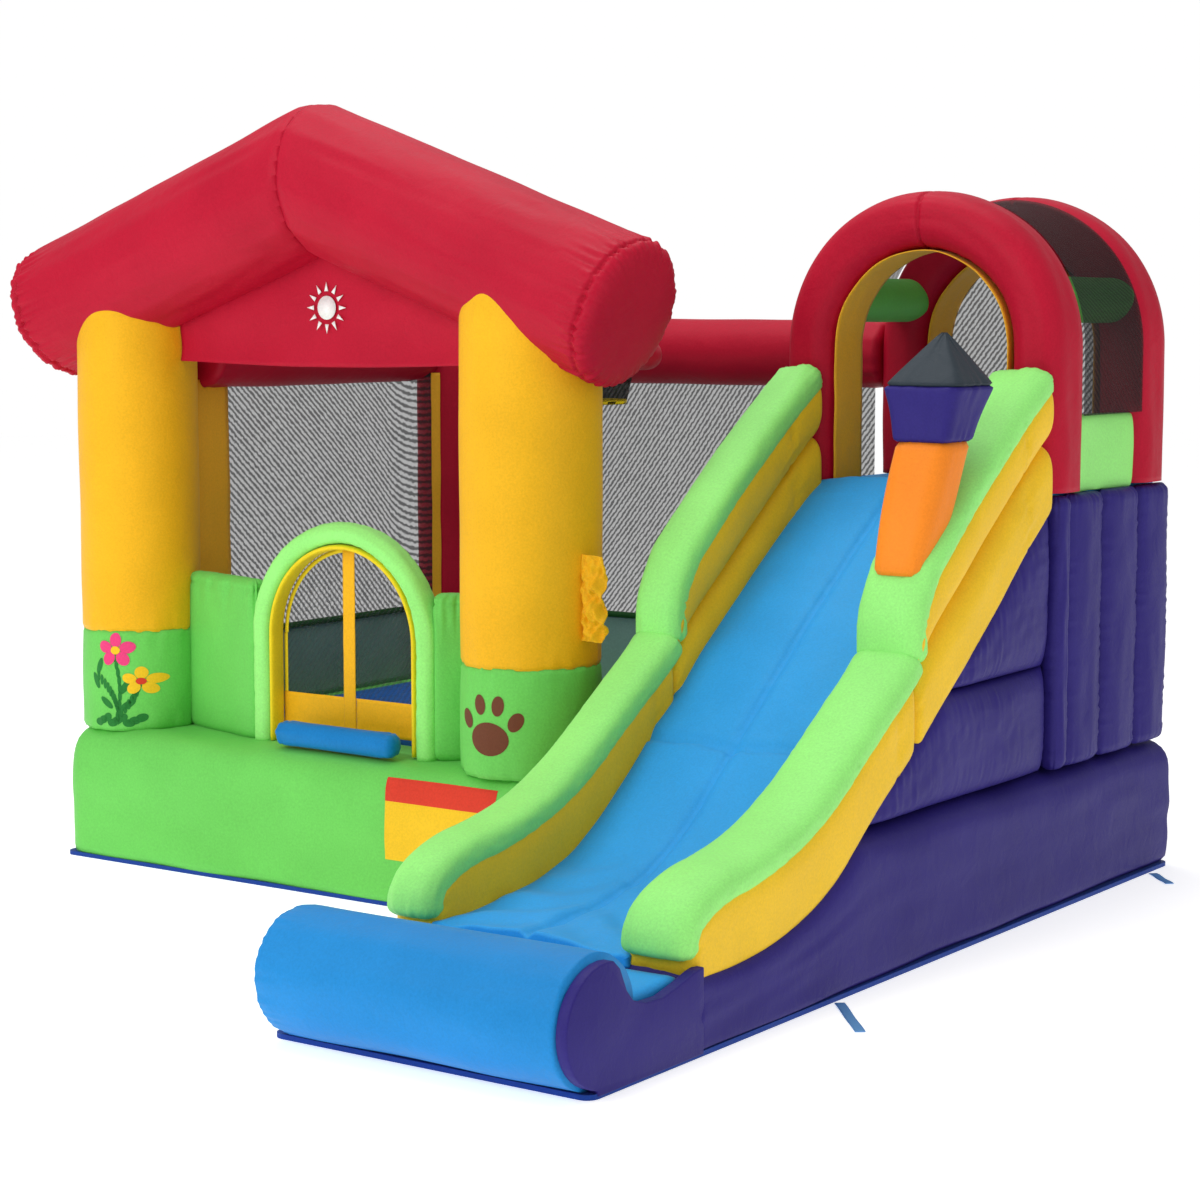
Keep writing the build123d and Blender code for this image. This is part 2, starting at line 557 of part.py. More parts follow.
# ---- Arches over the platform -------------------------------------------------------------
def make_arches():
    """Front and rear arch with linings, cross tubes, mesh screens and the green side panel."""
    leg_bottom = PLATFORM_TOP + 3
    with BuildPart() as arch_linings:
        for y_front in (FRONT_ARCH_Y, REAR_ARCH_Y):
            lining = arch_band(ARCH_X, ARCH_SPRING_Z, ARCH_INNER - 1, ARCH_INNER - ARCH_LINING, leg_bottom,
                               y_front + 30, y_front + ARCH_DEPTH - 30)
            add(lining.part)
    save(arch_linings, "arch_linings")

    for y_front, label in ((FRONT_ARCH_Y, "front_arch"), (REAR_ARCH_Y, "rear_arch")):
        y_back = y_front + ARCH_DEPTH
        air = arch_band(ARCH_X, ARCH_SPRING_Z, ARCH_OUTER - SKIN, ARCH_INNER + SKIN, leg_bottom + SKIN,
                        y_front + SKIN, y_back - SKIN)
        arch = arch_band(ARCH_X, ARCH_SPRING_Z, ARCH_OUTER, ARCH_INNER, leg_bottom, y_front, y_back)
        with arch:
            add(air.part, mode=Mode.SUBTRACT)
        save(arch, label)

    between_front, between_back = FRONT_ARCH_Y + ARCH_DEPTH + 3, REAR_ARCH_Y - 3
    middle_radius = (ARCH_OUTER + ARCH_INNER) / 2
    reach = sqrt(middle_radius**2 - (CROSS_TUBE_Z - ARCH_SPRING_Z) ** 2)
    with BuildPart() as cross_tubes:
        for x in (ARCH_X - reach, ARCH_X + reach):
            with BuildSketch(Plane(origin=at(x, between_front, CROSS_TUBE_Z), z_dir=(0, 1, 0))):
                Circle(CROSS_TUBE_RADIUS)
            extrude(amount=between_back - between_front)
    save(cross_tubes, "cross_tubes")

    right_leg = ARCH_X + ARCH_OUTER
    save(block((right_leg - 70, between_front, leg_bottom), (right_leg - 30, between_back, 1365)),
         "tunnel_side_panel")

    screen_radius, canopy_radius = ARCH_INNER - ARCH_LINING - 3, ARCH_OUTER - 7
    screen_y = REAR_ARCH_Y + ARCH_DEPTH / 2
    canopy = arch_band(ARCH_X, ARCH_SPRING_Z, canopy_radius, canopy_radius - SHEET, 1370,
                       between_front, between_back)
    with BuildPart() as tunnel_mesh:
        extrude(arch_face(front_plane(screen_y + 2), ARCH_X, ARCH_SPRING_Z, screen_radius, leg_bottom),
                amount=SHEET)
        add(canopy.part)
        with Locations(middle((ARCH_X - 500, between_front - 5, 1300), (ARCH_X - 300, between_back + 5, 1690))):
            Box(200, between_back - between_front + 10, 390, mode=Mode.SUBTRACT)
    save(tunnel_mesh, "tunnel_mesh")


# ---- Turret -------------------------------------------------------------------------------
def make_turret(bumper_top):
    """A small turret leaning back on the right bumper: orange body, purple flare, grey roof."""
    x = (BUMPER_RIGHT_X[0] + BUMPER_RIGHT_X[1]) / 2
    levels = {
        "foot": (325.0, 990.0, 118.0),
        "collar": (471.0, 1322.0, 150.0),
        "brim": (505.0, 1465.0, 208.0),
        "tip": (528.0, 1601.0, 16.0),
    }

    def section(name, lift=0.0, widen=0.0):
        """One square level of the turret, leaned back with its axis."""
        y, z, width = levels[name]
        with BuildSketch(Plane(at(x, y, z + lift))) as level:
            RectangleRounded(width + widen, width + widen, 0.22 * (width + widen))
        return level.sketch

    with BuildPart() as bumper:
        with BuildSketch(side_plane(BUMPER_RIGHT_X[0])):
            with BuildLine():
                Polyline(*bumper_top, close=True)
            make_face()
            offset(amount=3, kind=Kind.INTERSECTION)
        extrude(amount=BUMPER_RIGHT_X[1] - BUMPER_RIGHT_X[0])
    with BuildPart() as turret_body:
        loft([section("foot"), section("collar")])
        add(bumper.part, mode=Mode.SUBTRACT)
    body = turret_body.solids().sort_by(SortBy.VOLUME)[-1]
    with BuildPart() as turret_body:
        add(body)
    save(turret_body, "turret_body")

    with BuildPart() as turret_flare:
        loft([section("collar", 2, 4), section("brim")])
    save(turret_flare, "turret_flare")

    with BuildPart() as turret_roof:
        loft([section("brim", 2), section("tip")])
    save(turret_roof, "turret_roof")


# ---- Fastenings ---------------------------------------------------------------------------
def make_fastenings():
    """Anchor straps at the hem, the air inlet sleeve, and the deflation zipper."""
    straps = (
        ("anchor_strap_right_front", SLIDE_RIGHT + 6, -186.0, 275.0, -49.4),
        ("anchor_strap_right_rear", SLIDE_RIGHT + 6, 1648.0, 156.0, -46.8),
        ("anchor_strap_left_front", HOUSE_LEFT - 6, 320.0, 156.0, -133.2),
        ("anchor_strap_left_rear", HOUSE_LEFT - 6, 1500.0, 156.0, -133.2),
    )
    for label, x, y, length, heading in straps:
        direction = (cos(radians(heading)), sin(radians(heading)), 0)
        plane = Plane(origin=at(x, y, 0), x_dir=direction, z_dir=(0, 0, 1))
        with BuildPart() as strap:
            with BuildSketch(plane):
                with Locations((length / 2 + STRAP_WIDTH / 2, 0)):
                    Rectangle(length - STRAP_WIDTH, STRAP_WIDTH)
            extrude(amount=STRAP_THICKNESS)
        save(strap, label)

    with BuildPart() as inlet_sleeve:
        with BuildSketch(Plane(origin=at(INLET_X, HOUSE_DEPTH + 1, INLET_Z), z_dir=(0, 1, 0))):
            Circle(INLET_RADIUS + 3)
            Circle(INLET_RADIUS, mode=Mode.SUBTRACT)
        extrude(amount=INLET_LENGTH)
    save(inlet_sleeve, "inlet_sleeve")

    tape_y = HOUSE_DEPTH + 1
    save(block((ZIPPER_X, tape_y, ZIPPER_Z - 14), (ZIPPER_X + ZIPPER_LENGTH, tape_y + 2, ZIPPER_Z + 14)),
         "zipper_tape")
    with BuildPart() as zipper_slider:
        low = (ZIPPER_X + 8, tape_y + 2.4, ZIPPER_Z - 6)
        high = (ZIPPER_X + 24, tape_y + 8, ZIPPER_Z + 6)
        with Locations(middle(low, high)):
            Box(*[b - a for a, b in zip(low, high)])
        fillet(zipper_slider.faces().sort_by(Axis.Y)[-1].edges(), 2)
        pull_low = (ZIPPER_X + 22, tape_y + 4, ZIPPER_Z - 4)
        pull_high = (ZIPPER_X + 52, tape_y + 6.5, ZIPPER_Z + 4)
        with Locations(middle(pull_low, pull_high)):
            Box(*[b - a for a, b in zip(pull_low, pull_high)])
    save(zipper_slider, "zipper_slider")


make_base()
make_roof()
make_posts()
make_walls()
make_door()
make_hoop()
make_slide_body()
make_turret(make_bumpers())
make_landing()
make_arches()
make_fastenings()
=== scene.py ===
"""Looks of an inflatable bounce house with a slide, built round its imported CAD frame.

Every piece is modelled in metres in the frame's own axes. Lengths in the classes are laid out
from the front left corner of the house base, as the design is: x right, y back, z up.
"""

import logging
import math
from collections.abc import Callable, Sequence
from dataclasses import dataclass, field, replace
from enum import Enum

import bmesh
import bpy
from mathutils import Matrix, Vector, noise
from mathutils.bvhtree import BVHTree


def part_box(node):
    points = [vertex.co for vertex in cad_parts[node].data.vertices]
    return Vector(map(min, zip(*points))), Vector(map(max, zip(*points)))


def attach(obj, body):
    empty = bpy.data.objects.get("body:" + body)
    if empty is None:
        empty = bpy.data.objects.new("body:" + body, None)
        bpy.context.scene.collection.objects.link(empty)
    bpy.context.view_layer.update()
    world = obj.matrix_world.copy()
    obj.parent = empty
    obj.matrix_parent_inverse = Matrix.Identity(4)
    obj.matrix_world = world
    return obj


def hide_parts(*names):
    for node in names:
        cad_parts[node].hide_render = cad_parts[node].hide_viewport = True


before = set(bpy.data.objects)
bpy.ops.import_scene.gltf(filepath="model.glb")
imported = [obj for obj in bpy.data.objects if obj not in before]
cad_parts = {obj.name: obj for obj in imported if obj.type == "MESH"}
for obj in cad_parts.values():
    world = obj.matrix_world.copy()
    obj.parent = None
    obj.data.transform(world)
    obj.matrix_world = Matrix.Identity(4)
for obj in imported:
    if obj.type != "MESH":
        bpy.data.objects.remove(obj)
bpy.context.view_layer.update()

log = logging.getLogger("bounce_house")

Relief = Callable[[float, float], float]
Line = Sequence[tuple[float, float]]

HOUSE_LEFT = -0.090  # the base's left face in the layout
FLAT_POWER = 5.0  # section power of a box-like chamber
ROUND = 2.0  # section power of a round tube
SEAM_REACH = 0.045  # how far the gathers of a seam run into the cloth
X_AXIS, Y_AXIS, Z_AXIS = Vector((1, 0, 0)), Vector((0, 1, 0)), Vector((0, 0, 1))


# ---- Placing ------------------------------------------------------------------------------
_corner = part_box("base_front")[0]
LAYOUT = Vector((_corner[0] - HOUSE_LEFT, _corner[1], 0.0))


def lay(x: float, y: float, z: float) -> Vector:
    """A laid-out point in the part's frame.

    Args:
        x: metres to the right of the layout's corner.
        y: metres behind it.
        z: height above the ground.

    Returns:
        The point in the frame.
    """
    return Vector((x, y, z)) + LAYOUT


def span(node: str) -> tuple[Vector, Vector]:
    """The lowest and highest corners of a CAD node.

    Args:
        node: the node's name in the frame.

    Returns:
        Its lowest and its highest corner.
    """
    low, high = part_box(node)
    return Vector(low), Vector(high)


# ---- Finishes -----------------------------------------------------------------------------
def linear(colour: str) -> tuple[float, float, float, float]:
    """An sRGB hex colour as linear RGBA.

    Args:
        colour: six hex digits, with or without a leading #.

    Returns:
        Linear red, green, blue and an alpha of one.
    """
    digits = colour.lstrip("#")
    parts = [int(digits[i:i + 2], 16) / 255 for i in (0, 2, 4)]
    values = [p / 12.92 if p <= 0.04045 else ((p + 0.055) / 1.055) ** 2.4 for p in parts]
    return (values[0], values[1], values[2], 1.0)


def add_node(tree: bpy.types.NodeTree, kind: str, inputs: dict | None = None,
             **settings) -> bpy.types.Node:
    """Add one shader node.

    Args:
        tree: the node tree.
        kind: the node's type name.
        inputs: socket name or index to a plain value or to an output socket to link.
        **settings: attributes of the node.

    Returns:
        The new node.
    """
    made = tree.nodes.new(kind)
    for key, value in settings.items():
        setattr(made, key, value)
    for key, value in (inputs or {}).items():
        if isinstance(value, bpy.types.NodeSocket):
            tree.links.new(value, made.inputs[key])
        else:
            made.inputs[key].default_value = value
    return made


class Cloth(Enum):
    """How a cloth is made."""

    OXFORD = "woven oxford"
    MESH = "open knitted mesh"
    WEBBING = "ribbed webbing"


@dataclass(frozen=True)
class Finish:
    """A cloth finish: its slot in the record, its colour and how it was made."""

    name: str
    slot: str
    colour: str
    cloth: Cloth = Cloth.OXFORD
    roughness: float = 0.52
    sheen: float = 0.05
    thread: float = 0.006  # real threads are 0.5 mm apart; drawn coarser so that the weave shows
    crease: float = 0.5
    contrast: float = 1.0
    cover: float = 0.74  # share of an open mesh that is thread

    def material(self) -> bpy.types.Material:
        """The finish as a Blender material, made once and then shared.

        Returns:
            The material.
        """
        made = bpy.data.materials.get(self.name)
        if made:
            return made
        made = bpy.data.materials.new(self.name)
        made.use_nodes = True
        tree = made.node_tree
        shader = tree.nodes["Principled BSDF"]
        shader.inputs["Roughness"].default_value = self.roughness
        shader.inputs["IOR"].default_value = 1.47
        shader.inputs["Specular IOR Level"].default_value = 0.18
        shader.inputs["Sheen Weight"].default_value = self.sheen
        shader.inputs["Sheen Roughness"].default_value = 0.45
        where = add_node(tree, "ShaderNodeTexCoord").outputs["Object"]
        if self.cloth is Cloth.MESH:
            self._mesh(tree, shader, where)
        else:
            self._woven(tree, shader, where)
        return made

    def _woven(self, tree: bpy.types.NodeTree, shader: bpy.types.Node,
               where: bpy.types.NodeSocket) -> None:
        """Plain-woven coated polyester: a fine cross weave, slight colour drift and soft creases.

        Args:
            tree: the material's node tree.
            shader: its Principled shader.
            where: object coordinates.
        """
        rate = 1.0 / self.thread
        drift = add_node(tree, "ShaderNodeTexNoise", {"Vector": where, "Scale": 3.5, "Detail": 3.0})
        grain = add_node(tree, "ShaderNodeTexNoise", {"Vector": where, "Scale": rate, "Detail": 2.0,
                                                      "Roughness": 0.7})
        base = linear(self.colour)
        deep = tuple(c * 0.80 for c in base[:3]) + (1.0,)
        pale = tuple(min(1.0, c * 1.10 + 0.006) for c in base[:3]) + (1.0,)
        tint = add_node(tree, "ShaderNodeMapRange", {"Value": drift.outputs["Fac"], "From Min": 0.3,
                                                     "From Max": 0.7, "To Min": 0.32, "To Max": 0.68})
        speck = add_node(tree, "ShaderNodeMapRange", {"Value": grain.outputs["Fac"], "From Min": 0.25,
                                                      "From Max": 0.75, "To Min": -0.26, "To Max": 0.26})
        total = add_node(tree, "ShaderNodeMath", {0: tint.outputs[0], 1: speck.outputs[0]},
                         operation="ADD", use_clamp=True)
        colour = add_node(tree, "ShaderNodeMix", {"Factor": total.outputs[0]}, data_type="RGBA")
        for key, value in (("A", deep), ("B", pale)):
            [s for s in colour.inputs if s.name == key and s.type == "RGBA"][0].default_value = value
        out = [s for s in colour.outputs if s.type == "RGBA"][0]
        tree.links.new(out, shader.inputs["Base Color"])
        shine = add_node(tree, "ShaderNodeMapRange", {"Value": grain.outputs["Fac"], "From Min": 0.3,
                                                      "From Max": 0.7, "To Min": self.roughness - 0.07,
                                                      "To Max": self.roughness + 0.07})
        tree.links.new(shine.outputs[0], shader.inputs["Roughness"])
        crease = add_node(tree, "ShaderNodeTexNoise", {"Vector": where, "Scale": 14.0, "Detail": 4.0,
                                                       "Roughness": 0.55, "Distortion": 0.6})
        soft = add_node(tree, "ShaderNodeBump", {"Height": crease.outputs["Fac"],
                                                 "Strength": self.crease, "Distance": 0.006})
        weave = add_node(tree, "ShaderNodeBump", {"Height": grain.outputs["Fac"], "Strength": 0.28,
                                                  "Distance": 0.0012, "Normal": soft.outputs["Normal"]})
        tree.links.new(weave.outputs["Normal"], shader.inputs["Normal"])

    def _mesh(self, tree: bpy.types.NodeTree, shader: bpy.types.Node,
              where: bpy.types.NodeSocket) -> None:
        """Open knitted polyester mesh: slanting runs of thread with daylight between them.

        Args:
            tree: the material's node tree.
            shader: its Principled shader.
            where: object coordinates.
        """
        shader.inputs["Base Color"].default_value = linear(self.colour)
        turned = add_node(tree, "ShaderNodeMapping", {"Vector": where, "Rotation": (0.75, 0.75, 0.0)})
        runs = add_node(tree, "ShaderNodeTexWave", {"Vector": turned.outputs["Vector"],
                                                    "Scale": 26.0, "Distortion": 2.2,
                                                    "Detail": 2.0, "Detail Scale": 3.0},
                        wave_type="BANDS", bands_direction="Z")
        holes = add_node(tree, "ShaderNodeMapRange", {"Value": runs.outputs["Fac"], "From Min": 0.25,
                                                      "From Max": 0.8,
                                                      "To Min": self.cover - 0.16 * self.contrast,
                                                      "To Max": self.cover + 0.16 * self.contrast})
        tree.links.new(holes.outputs[0], shader.inputs["Alpha"])


# Coated polyester oxford cloth, plain woven, dyed: satin sheen over a fine grain.
RED = Finish("oxford_red", "red_oxford", "B6002A", sheen=0.0)
YELLOW = Finish("oxford_yellow", "yellow_oxford", "F0B310")
LEMON = Finish("oxford_lemon", "yellow_oxford", "F3C522")
LIME = Finish("oxford_lime", "lime_oxford", "6BCB58")
PALE_LIME = Finish("oxford_pale_lime", "lime_oxford", "98EE7C")
SKY = Finish("oxford_sky", "blue_oxford", "2C9FE6")
ROLL_BLUE = Finish("oxford_roll_blue", "blue_oxford", "1487CE")
STEP_BLUE = Finish("oxford_step_blue", "blue_oxford", "0079BF")
FLOOR_BLUE = Finish("oxford_floor_blue", "blue_oxford", "0F5FB0")
PURPLE = Finish("oxford_purple", "purple_oxford", "2B2074", sheen=0.0)
ORANGE = Finish("oxford_orange", "orange_oxford", "FF8A1E")
CHARCOAL = Finish("oxford_charcoal", "charcoal_oxford", "2C363E", sheen=0.0)
OCHRE = Finish("oxford_ochre", "ochre_lining", "F0B02A")
TRIM = Finish("binding_yellow", "trim_yellow", "EFD21A")
# Green lower-wall cloth as it shows through the door net: the grey-teal tone holds the net's dark
# threads and a painted sheen on them.
GREEN_UNDER_NET_SHEEN = Finish("lower_wall_cloth", "teal_cloth", "74968E")
HEM_GREEN = Finish("hem_dark_green", "teal_cloth", "1B4F20")
NAVY = Finish("ground_sheet_navy", "navy_hem", "0A3C96")
WHITE = Finish("print_white", "red_oxford", "F2F2F0", crease=0.2)
PRINT_PINK = Finish("print_pink", "lime_oxford", "E83E7C", crease=0.2)
PRINT_YELLOW = Finish("print_yellow", "lime_oxford", "F2C21B", crease=0.2)
PRINT_LEAF = Finish("print_leaf", "lime_oxford", "1F7A2E", crease=0.2)
PRINT_BROWN = Finish("print_brown", "lime_oxford", "6B3A22", crease=0.2)
PRINT_RED = Finish("print_red", "lime_oxford", "D93A24", crease=0.2)
BAFFLE = Finish("baffle_cloth", "baffle_cloth", "DADDE0")
ZIPPER_TAPE = Finish("zipper_tape_cloth", "zipper_tape", "20242A", thread=0.003)
# Enamelled zinc.
ZIPPER_METAL = Finish("zipper_enamel", "zipper_metal", "2A2D33", roughness=0.35, sheen=0.0, crease=0.0)
# Knitted polyester safety mesh: black thread, see-through.
MESH = Finish("safety_mesh", "black_mesh", "26282B", Cloth.MESH, roughness=0.7, sheen=0.0)
NET = Finish("door_net", "black_mesh", "3A3D40", Cloth.MESH, roughness=0.7, sheen=0.0, cover=0.16)
SCREEN = Finish("screen_mesh", "black_mesh", "141517", Cloth.MESH, roughness=0.7, sheen=0.0, cover=0.76,
                contrast=0.3)
# Woven polypropylene webbing.
WEBBING = Finish("strap_webbing", "strap_webbing", "123F96", Cloth.WEBBING, thread=0.003)


# ---- Shaping ------------------------------------------------------------------------------
@dataclass(frozen=True)
class Section:
    """One cross section of a sewn chamber: a round or box-like loop about a centre."""

    centre: Vector
    across: Vector
    up: Vector
    half_across: float
    half_up: float
    power: float = ROUND
    under_power: float | None = None

    def point(self, angle: float, out: float) -> Vector:
        """The point of the loop at an angle, moved outward by out.

        Args:
            angle: angle round the loop, from across towards up.
            out: how far the point is moved outward, in metres.

        Returns:
            The point in the frame.
        """
        c, s = math.cos(angle), math.sin(angle)
        power = self.power if s > 0 or self.under_power is None else self.under_power
        reach = (abs(c) ** power + abs(s) ** power) ** (-1.0 / power)
        x, y = reach * c, reach * s
        offset = self.across * (self.half_across * x) + self.up * (self.half_up * y)
        if out:
            tilt = power - 1.0
            normal = self.across * (math.copysign(abs(x) ** tilt, x) / self.half_across)
            normal += self.up * (math.copysign(abs(y) ** tilt, y) / self.half_up)
            offset += normal.normalized() * out
        return self.centre + offset


def standing(sections: Sequence[Section], power: float = 16.0) -> list[Section]:
    """The same sections with a flat underside that is kept level.

    Args:
        sections: the sections of a chamber sewn to a sheet below it.
        power: how square the underside is.

    Returns:
        The new sections.
    """
    floor = min((s.centre - s.up * s.half_up).z for s in sections)
    return [replace(s, centre=Vector((s.centre.x, s.centre.y, floor + s.half_up)), under_power=power)
            for s in sections]


def loft_mesh(sections: Sequence[Section], count: int = 48,
              relief: Relief | None = None) -> bmesh.types.BMesh:
    """Draw a loop of cloth through a row of cross sections and close both ends.

    Args:
        sections: the cross sections in order.
        count: points round each section.
        relief: outward offset of the cloth at (distance along, angle round).

    Returns:
        The closed mesh.
    """
    bm = bmesh.new()
    ring = bmesh.ops.create_circle(bm, cap_ends=False, radius=1.0, segments=count)["verts"]
    edges = list(bm.edges)
    first, along = list(edges), 0.0
    for index, section in enumerate(sections):
        if index:
            made = bmesh.ops.extrude_edge_only(bm, edges=edges)["geom"]
            place = {vert: i for i, vert in enumerate(ring)}
            ring = [None] * count
            for vert in (g for g in made if isinstance(g, bmesh.types.BMVert)):
                others = (edge.other_vert(vert) for edge in vert.link_edges)
                partner = next(other for other in others if other in place)
                ring[place[partner]] = vert
            edges = [bm.edges.get((ring[i], ring[(i + 1) % count])) for i in range(count)]
            along += (section.centre - sections[index - 1].centre).length
        for i, vert in enumerate(ring):
            angle = math.tau * i / count
            vert.co = section.point(angle, relief(along, angle) if relief else 0.0)
    for rim in (first, edges):
        bmesh.ops.contextual_create(bm, geom=rim)
    return bm


def sheet_mesh(shape: Callable[[float, float], Vector], cells: tuple[int, int]) -> bmesh.types.BMesh:
    """Draw one layer of cloth over a grid.

    Args:
        shape: the place of the cloth at (u, v), both from 0 to 1.
        cells: how many cells along u and v.

    Returns:
        The open mesh.
    """
    bm = bmesh.new()
    bmesh.ops.create_grid(bm, x_segments=cells[0], y_segments=cells[1], size=1.0)
    for vert in bm.verts:
        vert.co = shape((vert.co.x + 1) / 2, (vert.co.y + 1) / 2)
    return bm


def plate_mesh(outline: Sequence[Vector], depth: Vector) -> bmesh.types.BMesh:
    """Cut a plate to an outline.

    Args:
        outline: the corners of its face in order.
        depth: how far, and which way, the plate runs from that face.

    Returns:
        The closed mesh.
    """
    bm = bmesh.new()
    rim = bmesh.ops.create_circle(bm, cap_ends=True, radius=1.0, segments=len(outline))["verts"]
    for vert, point in zip(rim, outline):
        vert.co = point
    made = bmesh.ops.solidify(bm, geom=list(bm.faces), thickness=0.001)["geom"]
    for vert in (g for g in made if isinstance(g, bmesh.types.BMVert)):
        nearest = min(outline, key=lambda point: (point - vert.co).length)
        vert.co = nearest + depth
    bmesh.ops.recalc_face_normals(bm, faces=bm.faces)
    return bm


def thicken(bm: bmesh.types.BMesh, thickness: float) -> bmesh.types.BMesh:
    """Give a layer of cloth a thickness, closed at its edges.

    Args:
        bm: the open mesh, which is changed.
        thickness: thickness of the cloth.

    Returns:
        The same mesh, now closed.
    """
    bmesh.ops.recalc_face_normals(bm, faces=bm.faces)
    bmesh.ops.solidify(bm, geom=list(bm.faces), thickness=thickness)
    return bm


def make_piece(bm: bmesh.types.BMesh, name: str, finish: Finish, body: str = "house",
               nodes: Sequence[str] = ()) -> bpy.types.Object:
    """Turn a mesh into a finished piece that rides on a body.

    Args:
        bm: the mesh, which is freed.
        name: the piece's name.
        finish: its cloth.
        body: the CAD body that it rides on.
        nodes: the CAD nodes that it stands for.

    Returns:
        The new object.
    """
    bmesh.ops.recalc_face_normals(bm, faces=bm.faces)
    mesh = bpy.data.meshes.new(name)
    bm.to_mesh(mesh)
    bm.free()
    mesh.shade_smooth()
    mesh.materials.append(finish.material())
    piece = bpy.data.objects.new(name, mesh)
    bpy.context.scene.collection.objects.link(piece)
    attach(piece, body)
    if nodes:
        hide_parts(*nodes)
    log.info("%s: %d faces, %s", name, len(mesh.polygons), finish.name)
    return piece


def gathers(seams: Sequence[tuple[float, float]], radius: float, pitch: float = 0.026,
            drift: float = 0.002) -> Relief:
    """Cloth gathered into its cross seams.

    Args:
        seams: (distance along, depth of the gathers) of each seam.
        radius: the chamber's mean radius.
        pitch: spacing of the gathers round the seam.
        drift: height of the slow waves over the whole cloth.

    Returns:
        The relief of the cloth.
    """
    turns = radius / pitch

    def relief(along: float, angle: float) -> float:
        """Outward offset of the gathered cloth."""
        x, y = math.cos(angle) * turns, math.sin(angle) * turns
        total = drift * noise.noise(Vector((x * 0.22, y * 0.22, along * 4.0)))
        for place, depth in seams:
            gap = abs(along - place)
            if gap < 3 * SEAM_REACH:
                ripple = noise.noise(Vector((x, y, place * 7.0 + gap * 9.0)))
                total += depth * (math.exp(-gap / SEAM_REACH) * ripple * 1.6
                                  - 0.9 * math.exp(-((gap / 0.007) ** 2)))
        return total

    return relief


def stations(length: float, end: float, cell: float, steps: int = 7) -> list[tuple[float, float]]:
    """Places along a chamber with rounded ends, as (distance, how far the section draws in).

    Args:
        length: length of the chamber.
        end: radius of its rounded ends.
        cell: spacing between the ends.
        steps: steps round each end.

    Returns:
        The places in order.
    """
    turn = [math.pi / 2 * i / steps for i in range(steps + 1)]
    rounded = [(end * (1 - math.cos(a)), end * (1 - math.sin(a))) for a in turn]
    middle = max(2, round((length - 2 * end) / cell))
    places = rounded + [(end + (length - 2 * end) * i / middle, 0.0) for i in range(1, middle)]
    return places + [(length - s, draw) for s, draw in reversed(rounded)]


def run(start: Vector, end: Vector, across: Vector, up: Vector, half_across: float, half_up: float,
        power: float = ROUND, rounding: float = 0.05, cell: float = 0.02) -> list[Section]:
    """Cross sections of a straight chamber with rounded ends.

    Args:
        start: middle of the first end.
        end: middle of the other end.
        across: unit vector over the section's width.
        up: unit vector over its height.
        half_across: half the width.
        half_up: half the height.
        power: how box-like the section is.
        rounding: radius of the rounded ends.
        cell: spacing of the sections.

    Returns:
        The sections in order.
    """
    along = (end - start).normalized()
    sections = []
    for distance, draw in stations((end - start).length, rounding, cell):
        sections.append(Section(start + along * distance, across, up, max(0.002, half_across - draw),
                                max(0.002, half_up - draw), power))
    return sections


def domed_run(start: Vector, end: Vector, across: Vector, up: Vector, radius: float, dome: float,
              cell: float = 0.012) -> list[Section]:
    """Cross sections of a round tube closed by a dome beyond its seam at each end.

    Args:
        start: middle of the first seam.
        end: middle of the other seam.
        across: unit vector over the section.
        up: unit vector square to it.
        radius: radius of the tube.
        dome: height of each dome.
        cell: spacing of the sections.

    Returns:
        The sections in order.
    """
    along, length = (end - start).normalized(), (end - start).length
    turn = [math.pi / 2 * i / 10 for i in range(10)]
    cap = [(dome * math.sin(a), math.cos(a) ** 0.75) for a in turn]
    middle = max(2, round(length / cell))
    places = [(-s, size) for s, size in reversed(cap)]
    places += [(length * i / middle, 1.0) for i in range(1, middle)]
    places += [(length + s, size) for s, size in cap]
    return [Section(start + along * s, across, up, radius * size, radius * size) for s, size in places]


def path_run(path: Line, x_low: float, x_high: float, half_up: float, power: float,
             rounding: float, cell: float = 0.014) -> list[Section]:
    """Cross sections square to a (y, z) path, for a chamber that lies along a sloping seam.

    Args:
        path: the (y, z) line that the chamber follows.
        x_low: its left side.
        x_high: its right side.
        half_up: half its thickness.
        power: how box-like the section is.
        rounding: radius of the rounded ends.
        cell: spacing of the sections.

    Returns:
        The sections in order.
    """
    length = sum(math.dist(a, b) for a, b in zip(path, path[1:]))
    sections = []
    for distance, draw in stations(length, rounding, cell):
        share = distance / length
        y, z = on_line(path, share)
        before, after = (on_line(path, min(1.0, max(0.0, share + d))) for d in (-0.02, 0.02))
        slope = Vector((0, after[0] - before[0], after[1] - before[1])).normalized()
        sections.append(Section(lay((x_low + x_high) / 2, y, z), X_AXIS, Vector((0, -slope.z, slope.y)),
                                (x_high - x_low) / 2 - draw, max(0.004, half_up - draw), power))
    return sections


def wedge_run(under: Line, over: Line, y_low: float, y_high: float, x_low: float, x_high: float,
              power: float, rounding: float = 0.02, cell: float = 0.02) -> list[Section]:
    """Upright cross sections of a chamber that lies between two (y, z) lines.

    Args:
        under: the (y, z) line of the underside.
        over: the (y, z) line of the top.
        y_low: where the chamber starts.
        y_high: where it ends.
        x_low: its left side.
        x_high: its right side.
        power: how box-like the section is.
        rounding: radius of the rounded ends.
        cell: spacing of the sections.

    Returns:
        The sections in order.
    """
    sections = []
    for distance, draw in stations(y_high - y_low, rounding, cell):
        y = y_low + distance
        bottom, top = height_at(under, y), height_at(over, y)
        half_up = max(0.004, (top - bottom) / 2 - draw)
        sections.append(Section(lay((x_low + x_high) / 2, y, (bottom + top) / 2), X_AXIS, Z_AXIS,
                                (x_high - x_low) / 2 - draw, half_up, power))
    return sections


